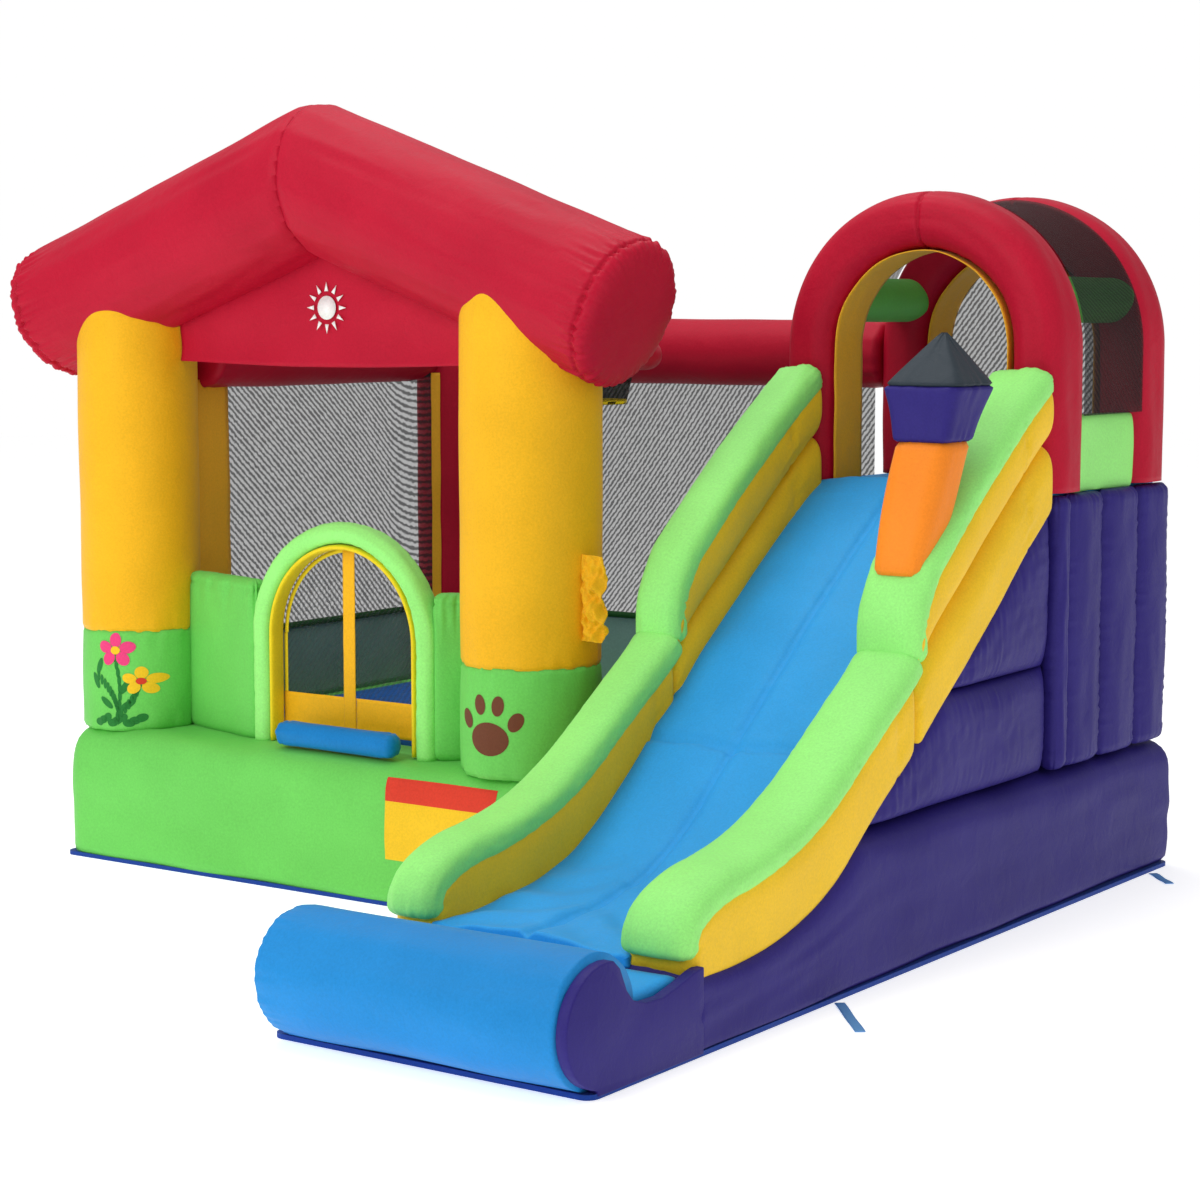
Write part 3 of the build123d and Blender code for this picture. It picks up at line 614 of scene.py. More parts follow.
def box_run(node: str, axis: int, power: float = FLAT_POWER, rounding: float = 0.05,
            cell: float = 0.02, grow: float = 0.0) -> list[Section]:
    """Cross sections that fill a box-shaped CAD node along one of its axes.

    Args:
        node: the CAD node.
        axis: the axis that the sections follow, 0 to 2.
        power: how box-like the section is.
        rounding: radius of the rounded ends.
        cell: spacing of the sections.
        grow: how far past the box they reach.

    Returns:
        The sections in order.
    """
    low, high = span(node)
    middle, half = (low + high) / 2, (high - low) / 2
    start, end = middle.copy(), middle.copy()
    start[axis], end[axis] = low[axis] - grow, high[axis] + grow
    other = [i for i in range(3) if i != axis]
    units = [Vector([1.0 if i == k else 0.0 for i in range(3)]) for k in other]
    return run(start, end, units[0], units[1], half[other[0]] + grow, half[other[1]] + grow, power,
               rounding, cell)


def arch_sections(centre: Vector, radius: float, leg: float, half_radial: float, half_depth: float,
                  power: float = 2.6, cell: float = 0.02) -> list[Section]:
    """Cross sections of an upright arch: up the left leg, over, and down the right leg.

    Args:
        centre: middle of the half round, at mid depth.
        radius: radius of the arch's middle line.
        leg: how far the legs run down from the spring line.
        half_radial: half the band's width.
        half_depth: half the band's depth.
        power: how box-like the section is.
        cell: spacing of the sections.

    Returns:
        The sections in order.
    """
    sections = []
    legs = max(2, round(leg / cell))
    for i in range(legs):
        point = centre + Vector((-radius, 0, -leg + leg * i / legs))
        sections.append(Section(point, -X_AXIS, Y_AXIS, half_radial, half_depth, power))
    turns = max(12, round(math.pi * radius / cell))
    shares = [i / turns for i in range(turns + 1)]
    crown = [0.5 + cell / (math.pi * radius) * i / 4 for i in range(-4, 5)]  # closer at its seam
    for share in sorted({round(s, 6) for s in shares + crown}):
        angle = math.pi * (1 - share)
        out = Vector((math.cos(angle), 0, math.sin(angle)))
        sections.append(Section(centre + out * radius, out, Y_AXIS, half_radial, half_depth, power))
    for i in range(1, legs + 1):
        point = centre + Vector((radius, 0, -leg * i / legs))
        sections.append(Section(point, X_AXIS, Y_AXIS, half_radial, half_depth, power))
    return sections


def on_line(line: Line, share: float) -> tuple[float, float]:
    """The (y, z) point at a share of a line's length.

    Args:
        line: the line.
        share: share of its length, 0 to 1.

    Returns:
        The point.
    """
    lengths = [math.dist(a, b) for a, b in zip(line, line[1:])]
    left = share * sum(lengths)
    for (a, b), length in zip(zip(line, line[1:]), lengths):
        if left <= length:
            t = left / length
            return (a[0] + (b[0] - a[0]) * t, a[1] + (b[1] - a[1]) * t)
        left -= length
    return line[-1]


def eased(line: Line, passes: int = 3) -> list[tuple[float, float]]:
    """A (y, z) line with its corners cut, so that the cloth runs over them smoothly.

    Args:
        line: the line.
        passes: how often the corners are cut.

    Returns:
        The smoother line.
    """
    points = list(line)
    for _ in range(passes):
        cut = [points[0]]
        for a, b in zip(points, points[1:]):
            cut.append((a[0] * 0.75 + b[0] * 0.25, a[1] * 0.75 + b[1] * 0.25))
            cut.append((a[0] * 0.25 + b[0] * 0.75, a[1] * 0.25 + b[1] * 0.75))
        points = cut + [points[-1]]
    return points


def height_at(line: Line, y: float) -> float:
    """The height of a (y, z) line over y.

    Args:
        line: the line, with y increasing.
        y: where to read it.

    Returns:
        The height.
    """
    for (y0, z0), (y1, z1) in zip(line, line[1:]):
        if y0 <= y <= y1:
            return z0 + (z1 - z0) * (y - y0) / max(1e-9, y1 - y0)
    return line[0][1] if y < line[0][0] else line[-1][1]


# ---- House --------------------------------------------------------------------------------
@dataclass
class Base:
    """Ground sheet with its hem, the four base beams and the bouncing floor."""

    rounding: float = 0.075
    hem_height: float = 0.012
    hem_inset: float = 0.004
    quilt: float = 0.28

    def build(self) -> None:
        """Build the beams, the floor and the sheet under them."""
        for node, axis in (("base_front", 0), ("base_rear", 0), ("base_left", 1), ("base_right", 1)):
            sections = standing(box_run(node, axis, FLAT_POWER, self.rounding, 0.03))
            relief = gathers([(0.0, 0.0)], 0.3, drift=0.006)
            make_piece(loft_mesh(sections, 72, relief), f"{node}_chamber", LIME, nodes=[node])
        self._floor()
        self._hem()

    def _floor(self) -> None:
        """A floor pad quilted in rows by the webs inside it."""
        def relief(along: float, angle: float) -> float:
            """Furrows where the webs hold the top down."""
            furrow = math.exp(-(((along % self.quilt) - self.quilt / 2) / 0.02) ** 2)
            return -0.014 * furrow if math.sin(angle) > 0.3 else 0.0

        sections = box_run("bounce_floor", 0, 9.0, 0.03, 0.02)
        make_piece(loft_mesh(sections, 64, relief), "bounce_floor_pad", FLOOR_BLUE,
                   nodes=["bounce_floor"])

    def _hem(self) -> None:
        """The ground sheet, with a welded hem standing up round the house and the slide."""
        low, high = span("ground_sheet")
        split = span("slide_base")[0].x
        front = span("base_front")[0].y
        edge = self.hem_inset
        left, right, back = low.x + edge, high.x - edge, high.y - edge
        outline = [(left, front + edge), (split, front + edge), (split, low.y + edge),
                   (right, low.y + edge), (right, back), (left, back)]
        bm = plate_mesh([Vector((x, y, 0.0)) for x, y in outline], Vector((0, 0, self.hem_height)))
        walls = [e for e in bm.edges if abs(e.verts[0].co.z - e.verts[1].co.z) > 1e-4]
        bmesh.ops.bevel(bm, geom=walls, offset=0.03, affect="EDGES", segments=4, profile=0.5,
                        material=-1)
        piece = make_piece(bm, "ground_sheet_hem", NAVY, nodes=["ground_sheet"])
        piece.data.shade_flat()


@dataclass
class Posts:
    """Front posts with green bands, and the red rear post."""

    reach_into_roof: float = 0.07
    swell: float = 0.004

    def build(self) -> None:
        """Build the posts and the bands under them."""
        bands_low, bands_high = span("post_bands")
        for side in ("left", "right"):
            low, high = span(f"post_front_{side}")
            centre, radius = (low + high) / 2, (high.x - low.x) / 2
            top = high.z + self.reach_into_roof
            sections = self._upright(centre, bands_high.z - 0.004, top, radius)
            relief = gathers([(0.0, 0.004)], radius)
            make_piece(loft_mesh(sections, 96, relief), f"post_{side}_cloth", YELLOW,
                       nodes=[f"post_front_{side}"])
            sections = self._upright(centre, bands_low.z - 0.008, bands_high.z, radius)
            height = sections[-1].centre.z - sections[0].centre.z
            relief = gathers([(0.0, 0.006), (height, 0.004)], radius)
            make_piece(loft_mesh(sections, 96, relief), f"post_{side}_band", LIME, nodes=["post_bands"])
        low, high = span("post_rear_left")
        middle, radius = (low + high) / 2, (high.x - low.x) / 2
        foot, head = Vector((middle.x, middle.y, low.z - 0.01)), Vector((middle.x, middle.y, high.z))
        sections = run(foot, head, X_AXIS, Y_AXIS, radius, radius, ROUND, 0.05, 0.03)
        make_piece(loft_mesh(sections, 64, gathers([(0.05, 0.004)], 0.13)), "post_rear_cloth", RED,
                   nodes=["post_rear_left"])

    def _upright(self, centre: Vector, bottom: float, top: float, radius: float) -> list[Section]:
        """Round sections of an upright stretch, a little fuller in the middle.

        Args:
            centre: middle of the post.
            bottom: height of its foot.
            top: height of its top.
            radius: its radius.

        Returns:
            The sections in order.
        """
        count = max(8, round((top - bottom) / 0.014))
        sections = []
        for i in range(count + 1):
            share = i / count
            size = radius - self.swell + self.swell * math.sin(math.pi * share) ** 0.5
            sections.append(Section(Vector((centre.x, centre.y, bottom + (top - bottom) * share)),
                                    X_AXIS, Y_AXIS, size, size))
        return sections


@dataclass
class Roof:
    """Two roof tubes mitred at the ridge, and the gable panel with its badge."""

    pitch: float = math.radians(20.0)
    radius: float = 0.205
    dome: float = 0.046
    ridge_x: float = 0.805
    ridge_axis_z: float = 2.030
    reach: float = 1.040
    sag: float = 0.012
    under_axis: float = 0.10  # how far the gable's top edge is below the tubes' axis

    def build(self) -> None:
        """Build both tubes and the gable."""
        for side, name in ((-1, "left"), (1, "right")):
            self._tube(side, name)
        self._gable()
        self._badge()

    def _tube(self, side: int, name: str) -> None:
        """One roof tube, gathered at the seam of its end cap and cut at the ridge.

        Args:
            side: -1 for the left tube, 1 for the right.
            name: left or right.
        """
        along = Vector((side * math.cos(self.pitch), 0, -math.sin(self.pitch)))
        origin = lay(self.ridge_x, 0.2, self.ridge_axis_z)
        up = Vector((side * math.sin(self.pitch), 0, math.cos(self.pitch)))
        start, seam = -0.09, self.reach / math.cos(self.pitch)
        marks = [start + (seam - start) * i / 80 for i in range(81)]
        marks += [seam + step * 0.003 for step in range(-14, 0)]
        places = [(mark, 1.0) for mark in sorted(marks)]
        for i in range(1, 20):
            t = i / 19.5
            places.append((seam + self.dome * math.sin(t * math.pi / 2), (1 - t ** 2.6) ** (1 / 2.6)))
        sections = [Section(origin + along * s, Y_AXIS, up, self.radius * size, self.radius * size)
                    for s, size in places]
        gather = gathers([(seam - start, 0.010)], self.radius, 0.010, 0.005)
        bm = loft_mesh(sections, 240, gather)
        cut = bmesh.ops.bisect_plane(bm, geom=[*bm.verts, *bm.edges, *bm.faces], plane_co=origin,
                                     plane_no=(-side, 0, 0), clear_outer=True)
        rim = [g for g in cut["geom_cut"] if isinstance(g, bmesh.types.BMEdge)]
        bmesh.ops.holes_fill(bm, edges=rim)
        for vert in bm.verts:
            gap = abs(vert.co.x - origin.x)
            if gap < 0.05:
                inward = vert.co - origin
                inward.x = 0
                vert.co -= inward.normalized() * 0.010 * math.exp(-((gap / 0.012) ** 2))
        make_piece(bm, f"roof_{name}_cloth", RED, nodes=[f"roof_tube_{name}"])

    def _gable(self) -> None:
        """The flat gable panel, slack along its hem."""
        low, high = span("gable_panel")
        middle = (low + high) / 2

        def shape(u: float, v: float) -> Vector:
            """The slack panel at (u, v)."""
            x = low.x + (high.x - low.x) * u
            gap = abs(x - lay(self.ridge_x, 0, 0).x)
            top = lay(0, 0, self.ridge_axis_z).z - gap * math.tan(self.pitch) - self.under_axis
            bottom = low.z + 0.010 - self.sag * math.sin(math.pi * u)
            ripple = 0.006 * noise.noise(Vector((x * 7, 3.0, v * 3))) * (1 - v)
            ripple += 0.004 * math.sin(v * 9)
            return Vector((x, middle.y + ripple, bottom + (top - bottom) * v))

        piece = make_piece(thicken(sheet_mesh(shape, (80, 30)), 0.003), "gable_cloth", RED,
                           nodes=["gable_panel"])

    def _badge(self) -> None:
        """A plain white sun printed on the gable."""
        centre = lay(0.824, 0.193, 1.663)
        bm = bmesh.new()
        disc = bmesh.ops.create_circle(bm, cap_ends=True, radius=0.034, segments=32)["verts"]
        bmesh.ops.rotate(bm, verts=disc, cent=(0, 0, 0), matrix=Matrix.Rotation(math.pi / 2, 3, "X"))
        for i in range(12):
            ray = bmesh.ops.create_circle(bm, cap_ends=True, radius=0.011, segments=3)["verts"]
            bmesh.ops.scale(bm, verts=ray, vec=(0.7, 1.6, 1.0))
            bmesh.ops.translate(bm, verts=ray, vec=(0, 0.056, 0))
            turn = Matrix.Rotation(math.pi / 2, 3, "X") @ Matrix.Rotation(math.tau * i / 12, 3, "Z")
            bmesh.ops.rotate(bm, verts=ray, cent=(0, 0, 0), matrix=turn)
        bmesh.ops.translate(bm, verts=bm.verts, vec=centre)
        make_piece(thicken(bm, 0.0012), "gable_print", WHITE)


@dataclass
class Walls:
    """Top tubes, mesh walls, lower wall panels and the panels beside the door."""

    binding: float = 0.022

    def build(self) -> None:
        """Build the walls round the bouncing room."""
        for node, axis, across in (("left_top_tube", 1, X_AXIS), ("rear_top_tube", 0, Y_AXIS)):
            low, high = span(node)
            start, end = (low + high) / 2, (low + high) / 2
            start[axis], end[axis] = low[axis] - 0.012, high[axis] + 0.012
            radius = (high.z - low.z) / 2
            sections = run(start, end, across, Z_AXIS, radius, radius, ROUND, 0.03, 0.03)
            relief = gathers([(0.03, 0.004), ((end - start).length - 0.03, 0.004)], radius, drift=0.004)
            make_piece(loft_mesh(sections, 64, relief), f"{node}_cloth", RED, nodes=[node])
        self._mesh("left_mesh_wall", 1)
        self._mesh("rear_mesh_wall", 0)
        self._lower()
        self._panels()

    def _mesh(self, node: str, axis: int) -> None:
        """A mesh wall with a bound edge at its start, and on the left wall one at its far end too.

        Args:
            node: the wall's CAD node.
            axis: the axis that it runs along, 0 or 1.
        """
        low, high = span(node)
        middle = (low + high) / 2
        other = 1 - axis

        def shape(u: float, v: float) -> Vector:
            """The net at (u, v)."""
            point = middle.copy()
            point[axis] = low[axis] + (high[axis] - low[axis]) * u
            point.z = low.z + (high.z + 0.03 - low.z) * v
            point[other] += 0.012 * math.sin(math.pi * u) * math.sin(math.pi * v)
            if axis == 1:
                point.x += 0.085 * max(0.0, (u - 0.84) / 0.16) ** 2
            return point

        length, height = high[axis] - low[axis], high.z - low.z
        piece = make_piece(sheet_mesh(shape, (60, 30)), f"{node}_net", MESH, nodes=[node])
        ends = ((0, 0.0, self.binding),)
        if axis == 1:
            ends = ((0, -0.045, 0.115), (1, -0.004, self.binding))
        for end, shift, width in ends:
            def strip(u: float, v: float) -> Vector:
                """The bound edge at (u, v)."""
                along = shift + (width - shift) * u if end == 0 else length - width * (1 - u)
                point = shape(min(1.0, max(0.0, along / length)), v)
                point[axis] = low[axis] + along
                point[other] += 0.004 + 0.003 * noise.noise(Vector((u * 2, v * 6, 1.0)))
                return point

            bm = thicken(sheet_mesh(strip, (8, 60)), 0.002)
            band = make_piece(bm, f"{node}_binding_{end}", OCHRE)
            width - min(shift, 0.0)

    def _lower(self) -> None:
        """The cloth panels under the mesh, each with a dark green hem along its top."""
        low, high = span("lower_walls")
        left, rear = span("left_mesh_wall"), span("rear_mesh_wall")
        left_x, rear_y = (left[0].x + left[1].x) / 2, (rear[0].y + rear[1].y) / 2
        runs = (
            ("left", Vector((left_x, left[0].y, 0)), Vector((left_x, left[1].y, 0))),
            ("rear", Vector((rear[0].x, rear_y, 0)), Vector((rear[1].x, rear_y, 0))),
        )
        for name, start, end in runs:
            def panel(u: float, v: float) -> Vector:
                """The panel at (u, v)."""
                point = start.lerp(end, u)
                point.z = low.z + (high.z - low.z) * v
                swell = 0.004 * noise.noise(Vector((u * 9, v * 2, 4.0)))
                return point + (X_AXIS if name == "left" else Y_AXIS) * swell

            def hem(u: float, v: float) -> Vector:
                """The hem at (u, v)."""
                point = panel(u, 1.0)
                point.z = high.z - 0.008 + 0.018 * v
                return point - (X_AXIS if name == "left" else Y_AXIS) * 0.003

            # the grey-teal panel colour holds the door net's dark threads and a painted sheen on them
            cloth = make_piece(thicken(sheet_mesh(panel, (60, 12)), 0.004), f"lower_wall_{name}", GREEN_UNDER_NET_SHEEN,
                               nodes=["lower_walls"])
            edge = make_piece(thicken(sheet_mesh(hem, (60, 2)), 0.010), f"lower_wall_{name}_hem",
                              HEM_GREEN)

    def _panels(self) -> None:
        """Two flat inflated panels beside the door, puckered along their top seam."""
        low, high = span("front_panels")
        arch_low, arch_high = span("door_arch")
        half_depth = (arch_high.y - arch_low.y) / 2
        near, far = low.y + half_depth, high.y - half_depth
        length = high.z - low.z + 0.01
        for name, start, end in (("left", (low.x - 0.02, far), (arch_low.x + 0.012, near)),
                                 ("right", (arch_high.x - 0.012, near), (high.x + 0.02, far - 0.01))):
            along = Vector((end[0] - start[0], end[1] - start[1], 0))
            middle = Vector(((start[0] + end[0]) / 2, (start[1] + end[1]) / 2, 0))
            across = along.normalized()
            back = Vector((-across.y, across.x, 0))
            sections = run(middle + Z_AXIS * (low.z - 0.01), middle + Z_AXIS * high.z, across, back,
                           along.length / 2, half_depth - 0.004, 6.0, 0.03, 0.012)
            relief = gathers([(length - 0.03, 0.007)], 0.12, 0.014, 0.003)
            make_piece(loft_mesh(sections, 120, relief), f"front_panel_{name}", LIME,
                       nodes=["front_panels"])


@dataclass
class Door:
    """Inflated arch, yellow binding, entry bolster and the two mesh leaves."""

    rim: float = 0.013
    sill: float = 0.105

    def build(self) -> None:
        """Build the door and its surround."""
        low, high = span("door_arch")
        inner_low, inner_high = span("door_trim")
        self.centre_x = (low.x + high.x) / 2
        outer = (high.x - low.x) / 2
        self.inner = (inner_high.x - inner_low.x) / 2
        self.spring = high.z - outer
        middle = Vector((self.centre_x, (low.y + high.y) / 2, self.spring))
        sections = arch_sections(middle, (outer + self.inner) / 2, self.spring - low.z + 0.006,
                                 (outer - self.inner) / 2 + 0.002, (high.y - low.y) / 2, 2.4, 0.014)
        total = math.pi * (outer + self.inner) / 2 + 2 * (self.spring - low.z)
        relief = gathers([(total * share / 34, 0.0016) for share in range(1, 34)], 0.035, 0.02, 0.002)
        make_piece(loft_mesh(sections, 40, relief), "door_arch_cloth", PALE_LIME, nodes=["door_arch"])
        trim_middle = Vector((self.centre_x, (inner_low.y + inner_high.y) / 2, self.spring))
        sections = arch_sections(trim_middle, self.inner - 0.009, self.spring - inner_low.z, 0.008,
                                 (inner_high.y - inner_low.y) / 2, 3.0, 0.02)
        make_piece(loft_mesh(sections, 20), "door_binding", TRIM, nodes=["door_trim"])
        self._step()
        for side in ("left", "right"):
            self._leaf(side)

    def _step(self) -> None:
        """The blue bolster that a child steps over."""
        low, high = span("entry_step")
        middle, radius = (low + high) / 2, (high.z - low.z) / 2
        start, end = Vector((low.x, middle.y, middle.z)), Vector((high.x, middle.y, middle.z))
        sections = run(start, end, Y_AXIS, Z_AXIS, radius, radius, 2.4, 0.03, 0.012)
        relief = gathers([(0.03, 0.004), (high.x - low.x - 0.03, 0.004)], radius, 0.012, 0.003)
        make_piece(loft_mesh(sections, 40, relief), "entry_bolster", STEP_BLUE, nodes=["entry_step"])

    def _leaf(self, side: str) -> None:
        """One leaf: net, a yellow sill panel, and on the left leaf the closing placket.

        Args:
            side: left or right.
        """
        low, high = span(f"door_leaf_{side}")
        radius = self.inner - 0.014
        y = (low.y + high.y) / 2

        def top(x: float) -> float:
            """Height of the opening over x."""
            return self.spring + math.sqrt(max(0.0, radius ** 2 - (x - self.centre_x) ** 2))

        def net(u: float, v: float) -> Vector:
            """The net at (u, v)."""
            x = low.x + (high.x - low.x) * u
            return Vector((x, y, low.z + (max(top(x), self.spring) - 0.001 - low.z) * v))

        body = f"door_leaf_{side}"
        piece = make_piece(sheet_mesh(net, (48, 60)), f"door_net_{side}", NET, body, [body])
        hinge_x = low.x if side == "left" else high.x
        step = 1 if side == "left" else -1

        def border(u: float, v: float) -> Vector:
            """The binding under the arch at (u, v)."""
            angle = math.pi / 2 * v * (0.97 if side == "left" else 0.94)
            reach = radius - self.rim * u
            return Vector((self.centre_x - step * reach * math.cos(angle), y - 0.002,
                           self.spring + reach * math.sin(angle)))

        def upright(u: float, v: float) -> Vector:
            """The binding on the hinge side at (u, v)."""
            height = low.z + (self.spring - low.z) * v
            return Vector((hinge_x + step * self.rim * u, y - 0.002, height))

        def sill(u: float, v: float) -> Vector:
            """The bottom panel at (u, v)."""
            x = low.x + (high.x - low.x) * u
            wave = 0.0015 * noise.noise(Vector((u * 8, v * 4, 2.0)))
            return Vector((x, y - 0.003 + wave, low.z + self.sill * v))

        parts = [("arch_binding", border, (2, 40), TRIM), ("side_binding", upright, (2, 24), TRIM),
                 ("sill", sill, (30, 10), YELLOW)]
        if side == "left":
            def placket(u: float, v: float) -> Vector:
                """The placket at (u, v)."""
                x = high.x - 0.045 + 0.044 * u
                wave = 0.0012 * noise.noise(Vector((u * 3, v * 9, 5.0)))
                return Vector((x, y - 0.004 + wave, low.z + (top(x) - low.z - 0.004) * v))

            parts.append(("placket", placket, (8, 50), YELLOW))
        for name, shape, cells, finish in parts:
            bm = thicken(sheet_mesh(shape, cells), 0.002)
            make_piece(bm, f"door_{side}_{name}", finish, body)


@dataclass
class Hoop:
    """The basketball ring, its net and the gusset between post and slide."""

    def build(self) -> None:
        """Build the ring, the net with its hem, and the gusset."""
        low, high = span("hoop_ring")
        centre, tube = (low + high) / 2, (high.z - low.z) / 2
        radius = (high.x - low.x) / 2 - tube
        bm = bmesh.new()
        circle = bmesh.ops.create_circle(bm, cap_ends=False, radius=tube, segments=28)
        upright = Matrix.Rotation(math.pi / 2, 3, "X")
        bmesh.ops.rotate(bm, verts=circle["verts"], cent=(0, 0, 0), matrix=upright)
        bmesh.ops.translate(bm, verts=circle["verts"], vec=(radius, 0, 0))
        bmesh.ops.spin(bm, geom=[*bm.verts, *bm.edges], cent=(0, 0, 0), axis=(0, 0, 1),
                       angle=math.tau, steps=72, use_merge=True)
        for vert in bm.verts:
            angle = math.atan2(vert.co.y, vert.co.x)
            middle = Vector((math.cos(angle), math.sin(angle), 0)) * radius
            fold = 1 - 0.06 * max(0.0, math.cos(angle * 12)) ** 8
            vert.co = middle + (vert.co - middle) * fold
        bmesh.ops.translate(bm, verts=bm.verts, vec=centre)
        make_piece(bm, "hoop_ring_cloth", RED, nodes=["hoop_ring"])

        low, high = span("hoop_net")
        wide, narrow = (high.x - low.x) / 2 - 0.002, 0.094

        def net(u: float, v: float) -> Vector:
            """The net at (u, v), wider at its top."""
            angle, size = math.tau * u, narrow + (wide - narrow) * v
            size += 0.004 * math.sin(angle * 9) * (1 - v)
            return Vector((centre.x + size * math.cos(angle), centre.y + size * math.sin(angle),
                           low.z + (high.z - low.z) * v))

        def hem(u: float, v: float) -> Vector:
            """The hem at the foot of the net."""
            return net(u, 0.12 * v)

        bm = sheet_mesh(net, (72, 10))
        bmesh.ops.remove_doubles(bm, verts=bm.verts, dist=0.0002)
        piece = make_piece(bm, "hoop_net_cloth", SCREEN, nodes=["hoop_net"])
        bm = sheet_mesh(hem, (72, 3))
        bmesh.ops.remove_doubles(bm, verts=bm.verts, dist=0.0002)
        edge = make_piece(thicken(bm, 0.002), "hoop_net_hem", TRIM)
        self._gusset()

    def _gusset(self) -> None:
        """A gathered yellow gusset."""
        low, high = span("gusset_panel")
        middle = (low + high) / 2

        def shape(u: float, v: float) -> Vector:
            """The gathered cloth at (u, v)."""
            x = low.x - 0.02 + 0.085 * u
            fold = 0.016 * math.sin(v * 19 + u * 5 + 3 * noise.noise(Vector((u * 3, v * 3, 7.0))))
            fine = 0.008 * noise.noise(Vector((u * 9, v * 15, 7.0)))
            slack = 0.02 * math.sin(math.pi * u)
            edge = 0.018 * noise.noise(Vector((v * 5, 2.0, 0.0)))
            return Vector((x + edge * u, middle.y + fold * u + fine - slack - 0.02,
                           low.z + (high.z - low.z) * v - 0.03 * u * math.sin(v * 3)))

        piece = make_piece(thicken(sheet_mesh(shape, (40, 90)), 0.002), "gusset_cloth", YELLOW,
                           nodes=["gusset_panel"])


@dataclass
class Prints:
    """Generic prints on the cloth: flowers, a paw and a blank two-colour patch."""

    lift: float = 0.0012

    def build(self) -> None:
        """Build the prints, each laid on the cloth under it."""
        self._flowers()
        self._paw()
        self._patch()

    def _press(self, shapes: Sequence[bmesh.types.BMesh], on: str, name: str, finish: Finish,
               layer: int) -> None:
        """Press flat shapes onto a piece from the front, as one print.

        Args:
            shapes: the flat shapes, which are freed.
            on: the piece under the print.
            name: the print's name.
            finish: its colour.
            layer: how many prints are under it.
        """
        under = bpy.data.objects[on].data
        tree = BVHTree.FromPolygons([v.co.copy() for v in under.vertices],
                                    [tuple(p.vertices) for p in under.polygons])
        whole = bmesh.new()
        for bm in shapes:
            for vert in bm.verts:
                hit = tree.ray_cast(Vector((vert.co.x, LAYOUT.y - 1.0, vert.co.z)), Y_AXIS)[0]
                vert.co.y = (hit.y if hit else LAYOUT.y) - self.lift - 0.0008 * layer
            mesh = bpy.data.meshes.new("press")
            bm.to_mesh(mesh)
            bm.free()
            whole.from_mesh(mesh)
            bpy.data.meshes.remove(mesh)
        make_piece(whole, name, finish)

    def _oval(self, x: float, z: float, wide: float, high: float,
              turn: float = 0.0) -> bmesh.types.BMesh:
        """A flat oval with its middle at a laid-out (x, z).

        Args:
            x: middle, in layout metres.
            z: middle, in layout metres.
            wide: half the width.
            high: half the height.
            turn: turn in radians.

        Returns:
            The flat mesh.
        """
        def shape(u: float, v: float) -> Vector:
            """The oval at (u, v), u round it and v outward."""
            a, b = wide * v * math.cos(math.tau * u), high * v * math.sin(math.tau * u)
            c, s = math.cos(turn), math.sin(turn)
            return lay(x + a * c - b * s, 0, z + a * s + b * c)

        bm = sheet_mesh(shape, (28, 5))
        bmesh.ops.remove_doubles(bm, verts=bm.verts, dist=1e-5)
        return bm

    def _flowers(self) -> None:
        """Two plain flowers with stems and leaves on the left band."""
        on = "post_left_band"
        stems = []
        for x0, z0, x1, z1 in ((0.120, 0.430, 0.115, 0.620), (0.120, 0.440, 0.180, 0.540),
                               (0.120, 0.470, 0.055, 0.560)):
            for i in range(9):
                t = i / 8
                bend = 0.012 * math.sin(math.pi * t)
                stems.append(self._oval(x0 + (x1 - x0) * t + bend, z0 + (z1 - z0) * t, 0.006, 0.016))
        for x, z, turn in ((0.085, 0.480, 2.5), (0.150, 0.475, 0.6), (0.145, 0.530, 1.0),
                           (0.045, 0.545, 2.0), (0.060, 0.590, 1.2)):
            stems.append(self._oval(x, z, 0.026, 0.010, turn))
        for i in range(9):
            x, z = 0.055 + 0.016 * i, 0.420 + 0.008 * (i % 3)
            stems.append(self._oval(x, z, 0.016, 0.012, 0.3 * (i % 3)))
        self._press(stems, on, "print_stems", PRINT_LEAF, 0)
        for name, finish, x, z, size in (("large", PRINT_PINK, 0.118, 0.640, 0.036),
                                         ("small", PRINT_YELLOW, 0.185, 0.548, 0.030)):
            petals = []
            for i in range(5):
                a = math.radians(90 + 72 * i)
                petals.append(self._oval(x + size * math.cos(a), z + 0.85 * size * math.sin(a),
                                         size * 0.62, size * 0.50, a))
            self._press(petals, on, f"print_flower_{name}", finish, 1)
            eye = self._oval(x, z, size * 0.40, size * 0.34)
            centre = PRINT_YELLOW if name == "large" else PRINT_RED
            self._press([eye], on, f"print_eye_{name}", centre, 2)

    def _paw(self) -> None:
        """A paw print on the right band."""
        x, z = 1.545, 0.535
        pads = [self._oval(x, z - 0.030, 0.062, 0.046)]
        for dx, dz, turn in ((-0.080, 0.020, 0.5), (-0.030, 0.062, 0.15), (0.030, 0.062, -0.15),
                             (0.080, 0.020, -0.5)):
            pads.append(self._oval(x + dx, z + dz, 0.019, 0.028, turn))
        self._press(pads, "post_right_band", "print_paw", PRINT_BROWN, 0)

    def _patch(self) -> None:
        """A blank patch, red above and yellow below, on the base."""
        for name, finish, z_low, z_high in (("top", PRINT_RED, 0.300, 0.365),
                                            ("bottom", PRINT_YELLOW, 0.135, 0.300)):
            def shape(u: float, v: float) -> Vector:
                """The patch at (u, v)."""
                return lay(1.185 + 0.385 * u, 0, z_low + (z_high - z_low) * v)

            self._press([sheet_mesh(shape, (40, 20))], "base_front_chamber", f"print_patch_{name}",
                        finish, 0)


